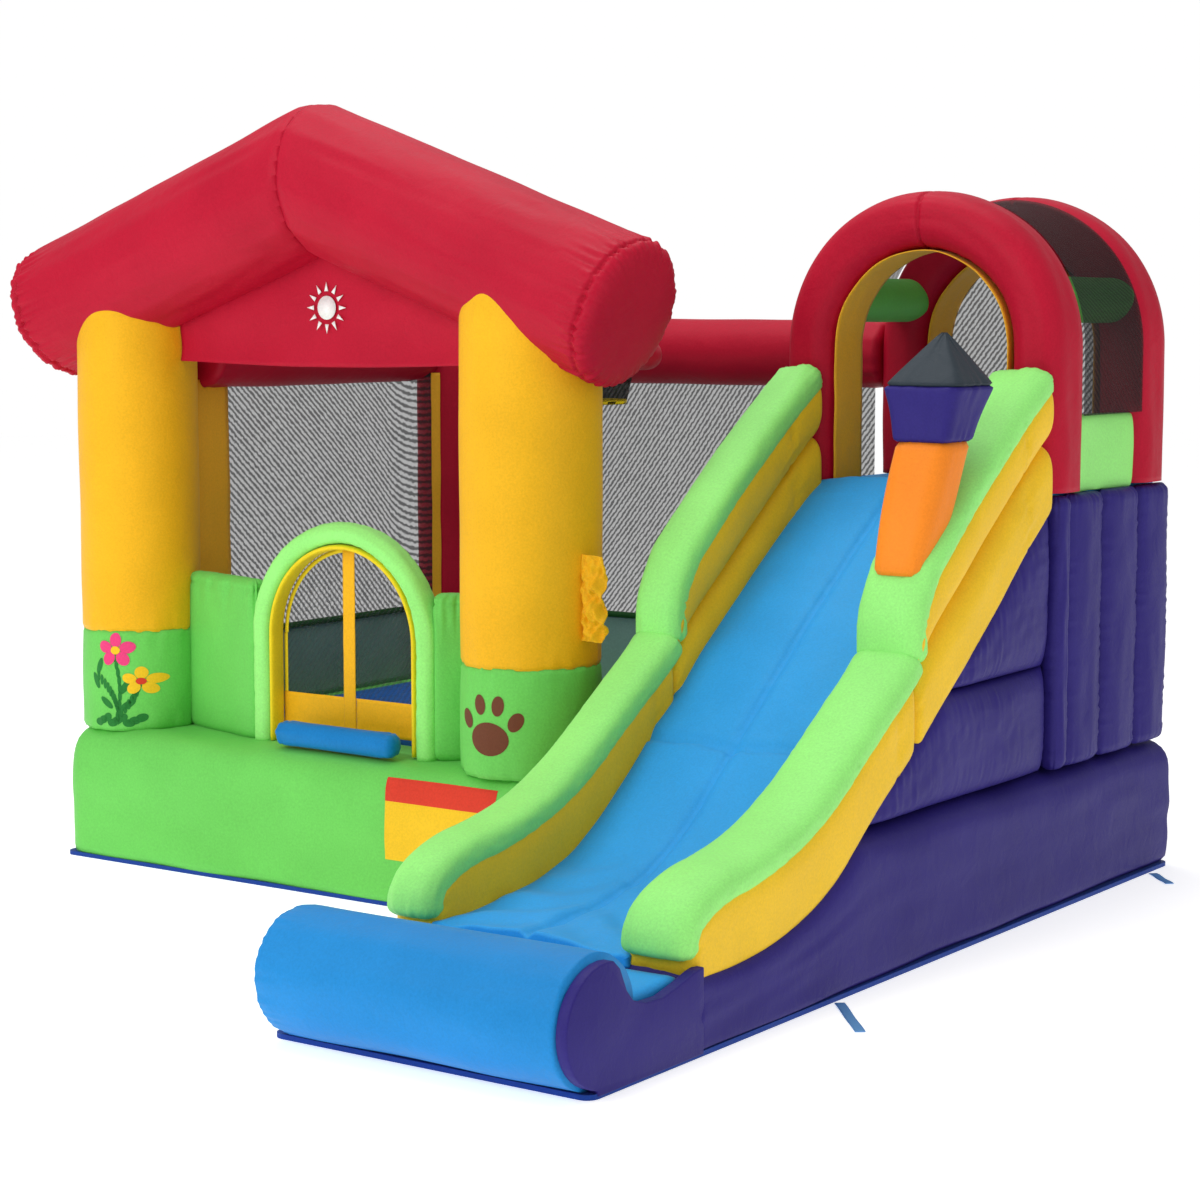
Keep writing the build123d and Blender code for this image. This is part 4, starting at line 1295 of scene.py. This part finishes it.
# ---- Slide --------------------------------------------------------------------------------
@dataclass
class Slide:
    """Base, wedge body, sewn side panels, bed, platform and climbing wall."""

    under: Line = ((-0.800, 0.196), (-0.570, 0.190), (-0.310, 0.240), (-0.160, 0.308), (-0.050, 0.390),
                   (0.080, 0.480), (0.280, 0.610), (0.390, 0.690), (0.520, 0.785), (0.680, 0.900),
                   (0.790, 1.000), (0.965, 1.121), (1.000, 1.150))
    bed: Line = ((-0.800, 0.212), (-0.550, 0.222), (-0.300, 0.262), (-0.120, 0.362), (0.060, 0.505),
                 (0.250, 0.655), (0.445, 0.815), (0.650, 0.960), (0.860, 1.105), (1.000, 1.174))
    base_top: float = 0.388
    panel_seam: float = 0.680
    body_top: float = 1.116
    back_y: float = 1.8  # a little behind the slide's rear face

    def build(self) -> None:
        """Build the slide from the ground up."""
        self._base()
        self._bed()
        for side in ("right", "left"):
            self._panels(side)
        self._ribs()
        make_piece(loft_mesh(box_run("platform", 1, 9.0, 0.02, 0.03), 48), "platform_pad", SKY,
                   nodes=["platform"])
        self._climbing_wall()

    def _base(self) -> None:
        """The purple base chamber and the body that stands on it."""
        low, high = span("slide_base")
        under = eased(self.under)
        over = [(y, min(z, self.base_top)) for y, z in under] + [(self.back_y, self.base_top)]
        front, back = low.y - LAYOUT.y, high.y - LAYOUT.y
        x_low, x_high = low.x - LAYOUT.x, high.x - LAYOUT.x
        over = [(y, z + 0.004) for y, z in over]
        ground = [(front, 0.004), (back, 0.004)]
        sections = standing(wedge_run(ground, over, front, back, x_low, x_high, 6.0, 0.03))
        relief = gathers([(0.0, 0.0)], 0.4, drift=0.006)
        make_piece(loft_mesh(sections, 96, relief), "slide_base_chamber", PURPLE, nodes=["slide_base"])
        low, high = span("slide_body")
        over = [(y, min(z - 0.004, self.body_top)) for y, z in under] + [(self.back_y, self.body_top)]
        front, back = low.y - LAYOUT.y, high.y - LAYOUT.y
        sections = wedge_run([(front, 0.380), (back, 0.380)], over, front, back, low.x - LAYOUT.x,
                             high.x - LAYOUT.x, 8.0, 0.02)
        make_piece(loft_mesh(sections, 64), "slide_body_chamber", PURPLE, nodes=["slide_body"])

    def _bed(self) -> None:
        """The sliding bed: two strips joined down the middle and once across."""
        low, high = span("slide_bed")
        under, over = eased(self.under), eased(self.bed)
        seam_y = 0.19

        def relief(along: float, angle: float) -> float:
            """Crowns, seams, gathers and slack of the bed's top."""
            c, s = math.cos(angle), math.sin(angle)
            if s < 0.5:
                return 0.0
            x, y = c / max(abs(c), abs(s)), along - 0.8
            cross = y - seam_y + 0.022 * (1 - abs(x)) ** 2
            out = 0.014 * (1 - x * x) - 0.016 * math.exp(-((x / 0.045) ** 2))
            out -= 0.016 * math.exp(-((cross / 0.011) ** 2))
            out += 0.006 * math.exp(-abs(cross) / 0.05) * noise.noise(Vector((x * 22, 1.0, cross * 8)))
            out += 0.005 * math.exp(-abs(x) / 0.12) * noise.noise(Vector((y * 24, 5.0, x * 2)))
            reach = 1.0 / (1 + math.exp((y + 0.30) * 11))
            arc = y * 22 + 2.6 * x * x + 1.3 * noise.noise(Vector((x * 2, y * 3, 0.5)))
            out += 0.010 * reach * math.sin(arc * 1.7) * (0.25 + 0.75 * abs(x)) * (1 - x ** 8)
            out += 0.006 * noise.noise(Vector((x * 4, y * 7, 3.0)))
            return out

        sections = wedge_run([(y, z - 0.02) for y, z in under], over, low.y - LAYOUT.y,
                             high.y - LAYOUT.y + 0.03, low.x - LAYOUT.x - 0.02,
                             high.x - LAYOUT.x + 0.02, 12.0, 0.01, 0.011)
        make_piece(loft_mesh(sections, 160, relief), "slide_bed_cloth", SKY, nodes=["slide_bed"])

    def _panels(self, side: str) -> None:
        """Two puffed panels, one over the other, cut to the slope of the slide.

        Args:
            side: left or right.
        """
        low, high = span(f"side_panels_{side}")
        under = eased(self.under)
        out = 1 if side == "right" else -1
        root = low.x if side == "right" else high.x
        stack = (("lower", -0.045, self.base_top, self.panel_seam),
                 ("upper", 0.385, self.panel_seam, 1.150))
        for name, y_low, z_low, z_high in stack:
            def shape(u: float, v: float) -> Vector:
                """The puffed panel at (u, v)."""
                y = y_low + (1.030 - y_low) * u
                top = max(z_low + 0.004, min(z_high, height_at(under, y) - 0.004))
                edge = max(0.0, 1 - abs(2 * u - 1) ** 5) * max(0.0, 1 - abs(2 * v - 1) ** 4)
                puff = 0.056 * min(1.0, (top - z_low) / 0.12) ** 0.5 * edge ** 0.5
                z = z_low + (top - z_low) * v
                slack = 0.006 * noise.noise(Vector((y * 4.0 + z * 3.0, z * 7.0 - y * 3.0, 2.0)))
                fine = 0.0022 * noise.noise(Vector((y * 26.0, z * 26.0, 8.0)))
                rows = math.exp(-min(v, 1 - v) * (top - z_low) / 0.045)
                ends = math.exp(-min(u, 1 - u) * (1.03 - y_low) / 0.060)
                gather = 0.009 * rows * noise.noise(Vector((y * 60.0, z * 6.0, 3.0)))
                gather += 0.009 * ends * noise.noise(Vector((y * 6.0, z * 60.0, 5.0)))
                return Vector((root + out * (puff + (slack + fine + gather) * edge), y + LAYOUT.y, z))

            bm = sheet_mesh(shape, (220, 70))
            back = bmesh.ops.extrude_face_region(bm, geom=list(bm.faces))["geom"]
            for vert in (g for g in back if isinstance(g, bmesh.types.BMVert)):
                vert.co.x = root - out * 0.02
            make_piece(bm, f"side_panel_{side}_{name}", PURPLE, nodes=[f"side_panels_{side}"])

    def _ribs(self) -> None:
        """Upright tubes beside the platform, puckered along their seams."""
        low, high = span("side_ribs_right")
        edges = (1.030, 1.110, 1.340, 1.580, 1.794)
        for index, (y_low, y_high) in enumerate(zip(edges, edges[1:])):
            middle = lay(0, (y_low + y_high) / 2, 0)
            start = Vector(((low.x + high.x) / 2 - 0.008, middle.y, low.z - 0.004))
            end = start.copy()
            end.z = high.z
            sections = run(start, end, X_AXIS, Y_AXIS, (high.x - low.x) / 2 + 0.006,
                           (y_high - y_low) / 2, 2.2, 0.03, 0.011)
            length = high.z - low.z

            def relief(along: float, angle: float, seed: int = index) -> float:
                """Puckers along both seams of a rib, and its slack."""
                side = abs(math.sin(angle)) ** 3
                which = math.copysign(2, math.sin(angle))
                pucker = noise.noise(Vector((along * 62, seed * 5.0, which)))
                slack = noise.noise(Vector((along * 7, seed * 3.0, math.sin(angle) * 2)))
                ends = math.exp(-min(along, length - along) / 0.04)
                gather = noise.noise(Vector((math.sin(angle) * 9, seed * 4.0, 1.0)))
                return 0.009 * side * pucker + 0.004 * slack + 0.005 * ends * gather

            make_piece(loft_mesh(sections, 96, relief), f"side_rib_{index}", PURPLE,
                       nodes=["side_ribs_right"])

    def _climbing_wall(self) -> None:
        """The padded climbing wall inside the house, with four rows of grips."""
        low, high = span("climbing_wall")
        wall = [low.copy(), high.copy()]
        wall[0].x = high.x - 0.034
        middle, half = (wall[0] + wall[1]) / 2, (wall[1] - wall[0]) / 2
        start, end = Vector((middle.x, middle.y, low.z)), Vector((middle.x, middle.y, high.z))
        make_piece(loft_mesh(run(start, end, X_AXIS, Y_AXIS, half.x, half.y, 6.0, 0.014, 0.03), 48),
                   "climbing_wall_pad", PURPLE, nodes=["climbing_wall"])
        for row, z in enumerate((0.578, 0.758, 0.938, 1.088)):
            for y in (1.150, 1.390):
                start = lay(1.7895, y + 0.060 * (row % 2), z)
                grip = run(start, start + Y_AXIS * 0.110, X_AXIS, Z_AXIS, 0.0175, 0.018, 2.4, 0.014,
                           0.01)
                make_piece(loft_mesh(grip, 20), f"grip_{row}_{int(y * 100)}", YELLOW)


@dataclass
class Bumpers:
    """Side bumpers in two stretches: yellow tubes under a crowned green top."""

    slide: Slide
    lower_seam: Line = ((-0.796, 0.262), (-0.760, 0.310), (-0.650, 0.352), (-0.540, 0.365),
                        (-0.350, 0.405), (-0.170, 0.490), (0.010, 0.610), (0.190, 0.727),
                        (0.236, 0.765))
    upper_seam: Line = ((0.240, 0.876), (0.310, 0.984), (0.480, 1.120), (0.710, 1.290),
                        (0.900, 1.415), (0.998, 1.470))
    crown: float = 0.046

    def build(self) -> None:
        """Build both bumpers."""
        for side in ("left", "right"):
            low, high = span(f"bumper_{side}_sides")
            self._side(side, low.x - LAYOUT.x, high.x - LAYOUT.x)

    def _side(self, side: str, x_low: float, x_high: float) -> None:
        """One bumper, from its foot to the platform.

        Args:
            side: left or right.
            x_low: its left side.
            x_high: its right side.
        """
        under = eased([(y, z - 0.03) for y, z in self.slide.under])
        lower, upper = eased(self.lower_seam), eased(self.upper_seam)
        lifted = [(y, z + 0.012) for y, z in lower]
        sections = wedge_run(under, lifted, -0.792, 0.236, x_low, x_high, 3.2, 0.03, 0.013)
        sections = [replace(section, under_power=12.0) for section in sections]
        self._tube(sections, f"bumper_{side}_lower", LEMON, [f"bumper_{side}_sides"], [0.0, 1.028])
        middle = [(y, height_at(under, y) * 0.48 + height_at(upper, y) * 0.52) for y, _ in upper]
        for name, floor, roof in (("inner", under, middle), ("outer", middle, upper)):
            roof = [(y, z + (0.012 if name == "outer" else 0.004)) for y, z in roof]
            sections = wedge_run(floor, roof, 0.236, 1.004, x_low, x_high, 2.7, 0.03, 0.013)
            if name == "inner":
                sections = [replace(section, under_power=12.0) for section in sections]
            self._tube(sections, f"bumper_{side}_{name}", LEMON, [f"bumper_{side}_sides"], [0.0, 0.77])
        nodes = [f"bumper_{side}_tops"]
        path = [(-0.790, 0.215), (-0.786, 0.262)]
        path += [(y + 0.008, z) for y, z in lower[6:]] + [(0.262, 0.785)]
        sections = path_run(path, x_low, x_high, self.crown, 2.7, 0.03)
        self._tube(sections, f"bumper_{side}_top_low", PALE_LIME, nodes, [0.0, 1.28])
        path = [(0.268, 0.770), (0.264, 0.870), (0.290, 0.930)]
        path = eased(path + [(y, z) for y, z in upper if y > 0.32], 2)
        sections = path_run([*path[:-1], (1.004, 1.474)], x_low, x_high, self.crown, 2.7, 0.03)
        self._tube(sections, f"bumper_{side}_top_high", PALE_LIME, nodes, [0.0, 1.05])

    def _tube(self, sections: Sequence[Section], name: str, finish: Finish, nodes: Sequence[str],
              seams: Sequence[float]) -> None:
        """One tube, gathered at its ends and puckered along its lengthwise seams.

        Args:
            sections: the tube's sections.
            name: the piece's name.
            finish: its cloth.
            nodes: the CAD nodes that it stands for.
            seams: distances along of its cross seams.
        """
        ends = gathers([(s, 0.005) for s in seams], 0.08, 0.02, 0.003)

        def relief(along: float, angle: float) -> float:
            """Gathered ends, and puckers along the lengthwise seams."""
            seam = abs(math.cos(angle)) ** 6 if "top" in name else abs(math.sin(angle)) ** 6
            return ends(along, angle) + 0.0035 * seam * noise.noise(Vector((along * 42, angle, 1.0)))

        make_piece(loft_mesh(sections, 72, relief), name, finish, nodes=nodes)


@dataclass
class Landing:
    """Splash roll, landing pad and the purple cap at the roll's right end."""

    def build(self) -> None:
        """Build the landing."""
        low, high = span("splash_roll")
        radius = (high.z - low.z) / 2
        middle = (low + high) / 2
        start = Vector((low.x + 0.030, middle.y, middle.z))
        end = Vector((high.x, middle.y, middle.z))
        sections = domed_run(start, end, Y_AXIS, Z_AXIS, radius, 0.032)
        sections = [s for s in sections if s.centre.x <= high.x + 0.001]
        relief = gathers([(0.032, 0.003)], radius, 0.014, 0.004)
        make_piece(loft_mesh(sections, 144, relief), "splash_roll_cloth", ROLL_BLUE,
                   nodes=["splash_roll"])
        make_piece(loft_mesh(box_run("landing_pad", 0, 7.0, 0.02, 0.02, 0.004), 64,
                             gathers([(0.0, 0.0)], 0.1, drift=0.006)), "landing_pad_cloth", SKY,
                   nodes=["landing_pad"])
        self._cap()

    def _cap(self) -> None:
        """The end cap: a flat cloth cut round the roll, with a dip behind it."""
        low, high = span("roll_end_cap")
        roll_low, roll_high = span("splash_roll")
        axis = (roll_low.y + roll_high.y) / 2 - LAYOUT.y
        rim = [(axis - 0.030, 0.006)]
        for i in range(19):
            angle = math.radians(258 - 178 * i / 18)
            rim.append((axis + 0.148 * math.cos(angle), 0.1535 + 0.138 * math.sin(angle)))
        rim += [(axis + 0.050, 0.268), (axis + 0.075, 0.215), (axis + 0.100, 0.188),
                (axis + 0.150, 0.172), (axis + 0.215, 0.170), (axis + 0.280, 0.184), (-0.810, 0.200),
                (-0.772, 0.206), (-0.772, 0.006)]
        outline = [Vector((low.x, y + LAYOUT.y, z)) for y, z in rim]
        bm = plate_mesh(outline, Vector((high.x - low.x, 0, 0)))
        bmesh.ops.bevel(bm, geom=list(bm.edges), offset=0.004, affect="EDGES", segments=2, profile=0.5,
                        material=-1)
        piece = make_piece(bm, "roll_end_cap_cloth", PURPLE, nodes=["roll_end_cap"])


@dataclass
class Arches:
    """Two arches over the platform with linings, cross tubes and mesh."""

    tuck: float = 0.02  # how far the side panel runs in behind what it is sewn to
    side_top: float = 1.365  # where the mesh starts above the side panel
    deck: float = 1.168  # top of the platform
    canopy_end: float = 1.69  # height at which the canopy stops on the left
    tunnel_front: float = 1.19
    tunnel_depth: float = 0.39
    screen_y: float = 1.735

    def build(self) -> None:
        """Build the arches and what hangs between them."""
        lining_low, lining_high = span("arch_linings")
        for node in ("front_arch", "rear_arch"):
            low, high = span(node)
            outer = (high.x - low.x) / 2
            inner = (lining_high.x - lining_low.x) / 2 + 0.001
            spring = high.z - outer
            centre = Vector(((low.x + high.x) / 2, (low.y + high.y) / 2, spring))
            leg = spring - low.z + 0.01
            sections = arch_sections(centre, (outer + inner) / 2, leg, (outer - inner) / 2,
                                     (high.y - low.y) / 2, 2.9, 0.016)
            top = leg + math.pi * (outer + inner) / 4

            def relief(along: float, angle: float) -> float:
                """The seam at the crown, the gathers inside the bend and the slack."""
                seam = -0.009 * math.exp(-(((along - top) / 0.0045) ** 2))
                fan = noise.noise(Vector((angle * 9, 3.0, 1.0)))
                seam += 0.004 * math.exp(-abs(along - top) / 0.03) * fan
                c, s = math.cos(angle), math.sin(angle)
                inside = max(0.0, -c) ** 3 * 0.004 * noise.noise(Vector((along * 32, 2.0, 1.0)))
                slack = 0.004 * noise.noise(Vector((along * 5, c * 2, s * 2)))
                return seam + inside + slack

            make_piece(loft_mesh(sections, 96, relief), f"{node}_cloth", RED, nodes=[node])
            self._lining(node, centre, inner - 0.004, leg, high.y - low.y - 0.05)
        self._cross_tubes()
        self._mesh(centre, outer, inner)
        low, high = span("tunnel_side_panel")
        middle = (low + high) / 2
        middle.z -= self.tuck / 2
        start = Vector((middle.x, low.y - self.tuck, middle.z))
        end = Vector((middle.x, high.y + self.tuck, middle.z))
        sections = run(start, end, X_AXIS, Z_AXIS, (high.x - low.x) / 2,
                       (high.z - low.z + self.tuck) / 2, 5.0, 0.012, 0.015)
        relief = gathers([(0.0, 0.0)], 0.1, drift=0.005)
        make_piece(loft_mesh(sections, 48, relief), "tunnel_side_cloth", PALE_LIME,
                   nodes=["tunnel_side_panel"])

    def _lining(self, node: str, centre: Vector, radius: float, leg: float, depth: float) -> None:
        """The flat ochre lining inside an arch.

        Args:
            node: the arch's CAD node.
            centre: middle of its half round.
            radius: the lining's radius.
            leg: length of its legs.
            depth: width of the cloth.
        """
        total = 2 * leg + math.pi * radius

        def shape(u: float, v: float) -> Vector:
            """The lining at (u, v), u over the arch and v across it."""
            along = total * u
            y = centre.y + depth * (v - 0.5)
            wave = 0.002 * noise.noise(Vector((along * 11, v * 3, 6.0)))
            if along < leg:
                return Vector((centre.x - radius + wave, y, centre.z - leg + along))
            if along > total - leg:
                return Vector((centre.x + radius - wave, y, centre.z - leg + total - along))
            angle = math.pi - (along - leg) / radius
            reach = radius - wave
            return Vector((centre.x + reach * math.cos(angle), y, centre.z + reach * math.sin(angle)))

        piece = make_piece(thicken(sheet_mesh(shape, (110, 12)), 0.003), f"{node}_lining", OCHRE,
                           nodes=["arch_linings"])

    def _cross_tubes(self) -> None:
        """Two green tubes that run between the arches."""
        low, high = span("cross_tubes")
        radius = (high.z - low.z) / 2
        z = (low.z + high.z) / 2
        for name, x in (("left", low.x + radius), ("right", high.x - radius)):
            start, end = Vector((x, low.y - 0.06, z)), Vector((x, high.y + 0.06, z))
            sections = domed_run(start, end, X_AXIS, Z_AXIS, radius, 0.05)
            relief = gathers([(0.05, 0.004)], radius, 0.02)
            make_piece(loft_mesh(sections, 64, relief), f"cross_tube_{name}", LIME,
                       nodes=["cross_tubes"])

    def _mesh(self, centre: Vector, outer: float, inner: float) -> None:
        """Black mesh: a canopy over the tunnel and its right side, and a screen at the back.

        Args:
            centre: middle of the rear arch's half round.
            outer: the arches' outer radius.
            inner: their inner radius.
        """
        radius = outer - 0.010
        side = centre.z - self.side_top
        start = math.pi - math.asin((self.canopy_end - centre.z) / radius)
        total = side + start * radius

        def canopy(u: float, v: float) -> Vector:
            """The canopy at (u, v), u up the right side and over."""
            along = total * u
            y = self.tunnel_front + LAYOUT.y + self.tunnel_depth * v
            if along < side:
                return Vector((centre.x + radius, y, self.side_top + along))
            angle = (along - side) / radius
            dip = 0.012 * math.sin(math.pi * v) * math.sin(angle)
            reach = radius - dip
            return Vector((centre.x + reach * math.cos(angle), y, centre.z + reach * math.sin(angle)))

        def screen(u: float, v: float) -> Vector:
            """The rear screen at (u, v)."""
            x = (2 * u - 1) * (inner - 0.003)
            top = centre.z + math.sqrt(max(0.0, (inner - 0.003) ** 2 - x * x))
            return Vector((centre.x + x, self.screen_y + LAYOUT.y, self.deck + (top - self.deck) * v))

        piece = make_piece(sheet_mesh(canopy, (90, 24)), "tunnel_canopy_net", SCREEN,
                           nodes=["tunnel_mesh"])
        piece = make_piece(sheet_mesh(screen, (40, 40)), "tunnel_screen_net", MESH,
                           nodes=["tunnel_mesh"])


@dataclass
class Turret:
    """A small soft turret that leans back on the right bumper."""

    x: float = 2.6345
    levels: dict[str, tuple[float, float, float]] = field(default_factory=lambda: {
        "foot": (0.325, 0.990, 0.134), "collar": (0.471, 1.322, 0.166), "brim": (0.505, 1.465, 0.232),
        "tip": (0.528, 1.601, 0.012)})

    def build(self) -> None:
        """Build its body, flare and roof."""
        for name, finish, a, b, bulge in (("body", ORANGE, "foot", "collar", 0.006),
                                          ("flare", PURPLE, "collar", "brim", -0.004),
                                          ("roof", CHARCOAL, "brim", "tip", 0.001)):
            (y0, z0, w0), (y1, z1, w1) = self.levels[a], self.levels[b]
            sections = []
            for i in range(25):
                t = i / 24
                width = w0 + (w1 - w0) * t + 2 * bulge * math.sin(math.pi * t)
                if i in (0, 24):
                    width *= 0.93
                centre = lay(self.x, y0 + (y1 - y0) * t, z0 + (z1 - z0) * t)
                power = 3.4 if name == "body" else 6.5
                sections.append(Section(centre, X_AXIS, Y_AXIS, width / 2, width / 2, power))
            length = math.dist((y0, z0), (y1, z1))
            relief = gathers([(0.0, 0.003), (length, 0.003)], 0.09, 0.016, 0.002)
            make_piece(loft_mesh(sections, 80, relief), f"turret_{name}_cloth", finish,
                       nodes=[f"turret_{name}"])


@dataclass
class Fastenings:
    """Anchor straps and the blower's inlet sleeve."""

    strap_width: float = 0.025
    sewn: float = 0.012  # length of the strap that is under the hem

    def build(self) -> None:
        """Build the fastenings at the base."""
        for name, x, y, length, heading in (("right_front", 2.751, -0.186, 0.275, -49.4),
                                            ("right_rear", 2.751, 1.648, 0.156, -46.8),
                                            ("left_front", -0.096, 0.320, 0.156, -133.2),
                                            ("left_rear", -0.096, 1.500, 0.156, -133.2)):
            self._strap(name, x, y, length, math.radians(heading))
        low, high = span("inlet_sleeve")
        middle, radius = (low + high) / 2, (high.z - low.z) / 2

        def sleeve(u: float, v: float) -> Vector:
            """The sleeve at (u, v), u round it."""
            angle, out = math.tau * u, radius - 0.003
            out += 0.003 * noise.noise(Vector((math.cos(angle) * 3, math.sin(angle) * 3, v * 2)))
            return Vector((middle.x + out * math.cos(angle), low.y - 0.01 + (high.y - low.y + 0.01) * v,
                           middle.z + out * math.sin(angle)))

        bm = sheet_mesh(sleeve, (64, 14))
        bmesh.ops.remove_doubles(bm, verts=bm.verts, dist=0.0005)
        piece = make_piece(thicken(bm, 0.003), "inlet_sleeve_cloth", LIME, nodes=["inlet_sleeve"])

    def _strap(self, name: str, x: float, y: float, length: float, heading: float) -> None:
        """One webbing strap laid out on the ground.

        Args:
            name: which strap.
            x: where it leaves the hem.
            y: the same, to the back.
            length: its length.
            heading: its direction on the ground, in radians.
        """
        along = Vector((math.cos(heading), math.sin(heading), 0))
        across = Vector((-along.y, along.x, 0))
        root = lay(x, y, 0.0015) + along * self.sewn
        free = length - self.sewn

        def shape(u: float, v: float) -> Vector:
            """The webbing at (u, v)."""
            rise = 0.0015 + 0.001 * math.sin(u * 9)
            return root + along * (free * u) + across * (self.strap_width * (v - 0.5)) + Z_AXIS * rise

        node = f"anchor_strap_{name}"
        piece = make_piece(thicken(sheet_mesh(shape, (40, 4)), 0.002), f"strap_{name}_webbing", WEBBING,
                           node, [node])


def dress_node(node: str, finish: Finish) -> None:
    """Give a CAD node that is shown as it is its finish.

    Args:
        node: the node's name in the frame.
        finish: its finish.
    """
    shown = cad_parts[node]
    shown.data.materials.clear()
    shown.data.materials.append(finish.material())


# ---- Studio -------------------------------------------------------------------------------
@dataclass
class Studio:
    """Pale floor, soft lights and the camera."""

    eye: tuple[float, float, float] = (5.982, -5.778, 1.676)
    azimuth: float = 35.13
    drop: float = 6.21
    lens: float = 81.84

    def build(self) -> None:
        """Set the scene round the object."""
        self._floor()
        self._lights()
        self._camera()

    def _floor(self) -> None:
        """A plain pale floor, and a bright white room round it that only the camera sees."""
        for name, colour, glow in (("studio_floor", 0.92, 0.52), ("studio_room", 0.0, 1.0)):
            bm = bmesh.new()
            if glow == 1.0:
                bmesh.ops.create_icosphere(bm, subdivisions=4, radius=28.0)
            else:
                bmesh.ops.create_grid(bm, x_segments=1, y_segments=1, size=30.0)
            mesh = bpy.data.meshes.new(name)
            bm.to_mesh(mesh)
            bm.free()
            stage = bpy.data.objects.new(name, mesh)
            bpy.context.scene.collection.objects.link(stage)
            material = bpy.data.materials.new(f"{name}_paint")
            material.use_nodes = True
            shader = material.node_tree.nodes["Principled BSDF"]
            shader.inputs["Base Color"].default_value = (colour, colour, colour, 1.0)
            shader.inputs["Roughness"].default_value = 0.9
            shader.inputs["Specular IOR Level"].default_value = 0.1
            shader.inputs["Emission Color"].default_value = (1.0, 1.0, 1.0, 1.0)
            shader.inputs["Emission Strength"].default_value = glow
            mesh.materials.append(material)
            if glow == 1.0:
                stage.visible_diffuse = stage.visible_glossy = stage.visible_shadow = False
                stage.visible_transmission = stage.visible_volume_scatter = False

    def _lights(self) -> None:
        """A bright even room with one large key from the front left and a weaker fill."""
        world = bpy.data.worlds.new("studio")
        bpy.context.scene.world = world
        world.use_nodes = True
        sky = world.node_tree.nodes["Background"]
        sky.inputs["Color"].default_value = (1.0, 1.0, 1.0, 1.0)
        sky.inputs["Strength"].default_value = 0.52
        for name, place, size, power in (("key", (0.2, -6.5, 4.6), 4.0, 200.0),
                                         ("fill", (7.5, -1.5, 3.4), 4.0, 30.0),
                                         ("top", (0.8, 0.6, 6.0), 5.0, 170.0)):
            light = bpy.data.lights.new(name, "AREA")
            light.energy, light.size = power, size
            lamp = bpy.data.objects.new(name, light)
            lamp.location = lay(*place)
            aim = lay(1.3, 0.3, 0.9) - lamp.location
            lamp.rotation_euler = aim.to_track_quat("-Z", "Y").to_euler()
            bpy.context.scene.collection.objects.link(lamp)

    def _camera(self) -> None:
        """The camera at the right front, a little above the ridge's middle."""
        data = bpy.data.cameras.new("camera")
        data.lens, data.sensor_width = self.lens, 36.0
        camera = bpy.data.objects.new("camera", data)
        camera.location = lay(*self.eye)
        camera.rotation_euler = (math.radians(90.0 - self.drop), 0.0, math.radians(self.azimuth))
        bpy.context.scene.collection.objects.link(camera)
        bpy.context.scene.camera = camera
        bpy.context.scene.view_settings.view_transform = "Standard"


def main() -> None:
    """Build every sub-assembly, dress the CAD nodes that are shown as they are, then set up the studio.
    """
    logging.basicConfig(level=logging.INFO, format="%(message)s")
    slide = Slide()
    for part in (Base(), Posts(), Roof(), Walls(), Door(), Hoop(), Prints(), slide, Bumpers(slide),
                 Landing(), Arches(), Turret(), Fastenings()):
        part.build()
    dress_node("inner_baffles", BAFFLE)
    dress_node("zipper_tape", ZIPPER_TAPE)
    dress_node("zipper_slider", ZIPPER_METAL)
    Studio().build()


if __name__ == "__main__":
    main()
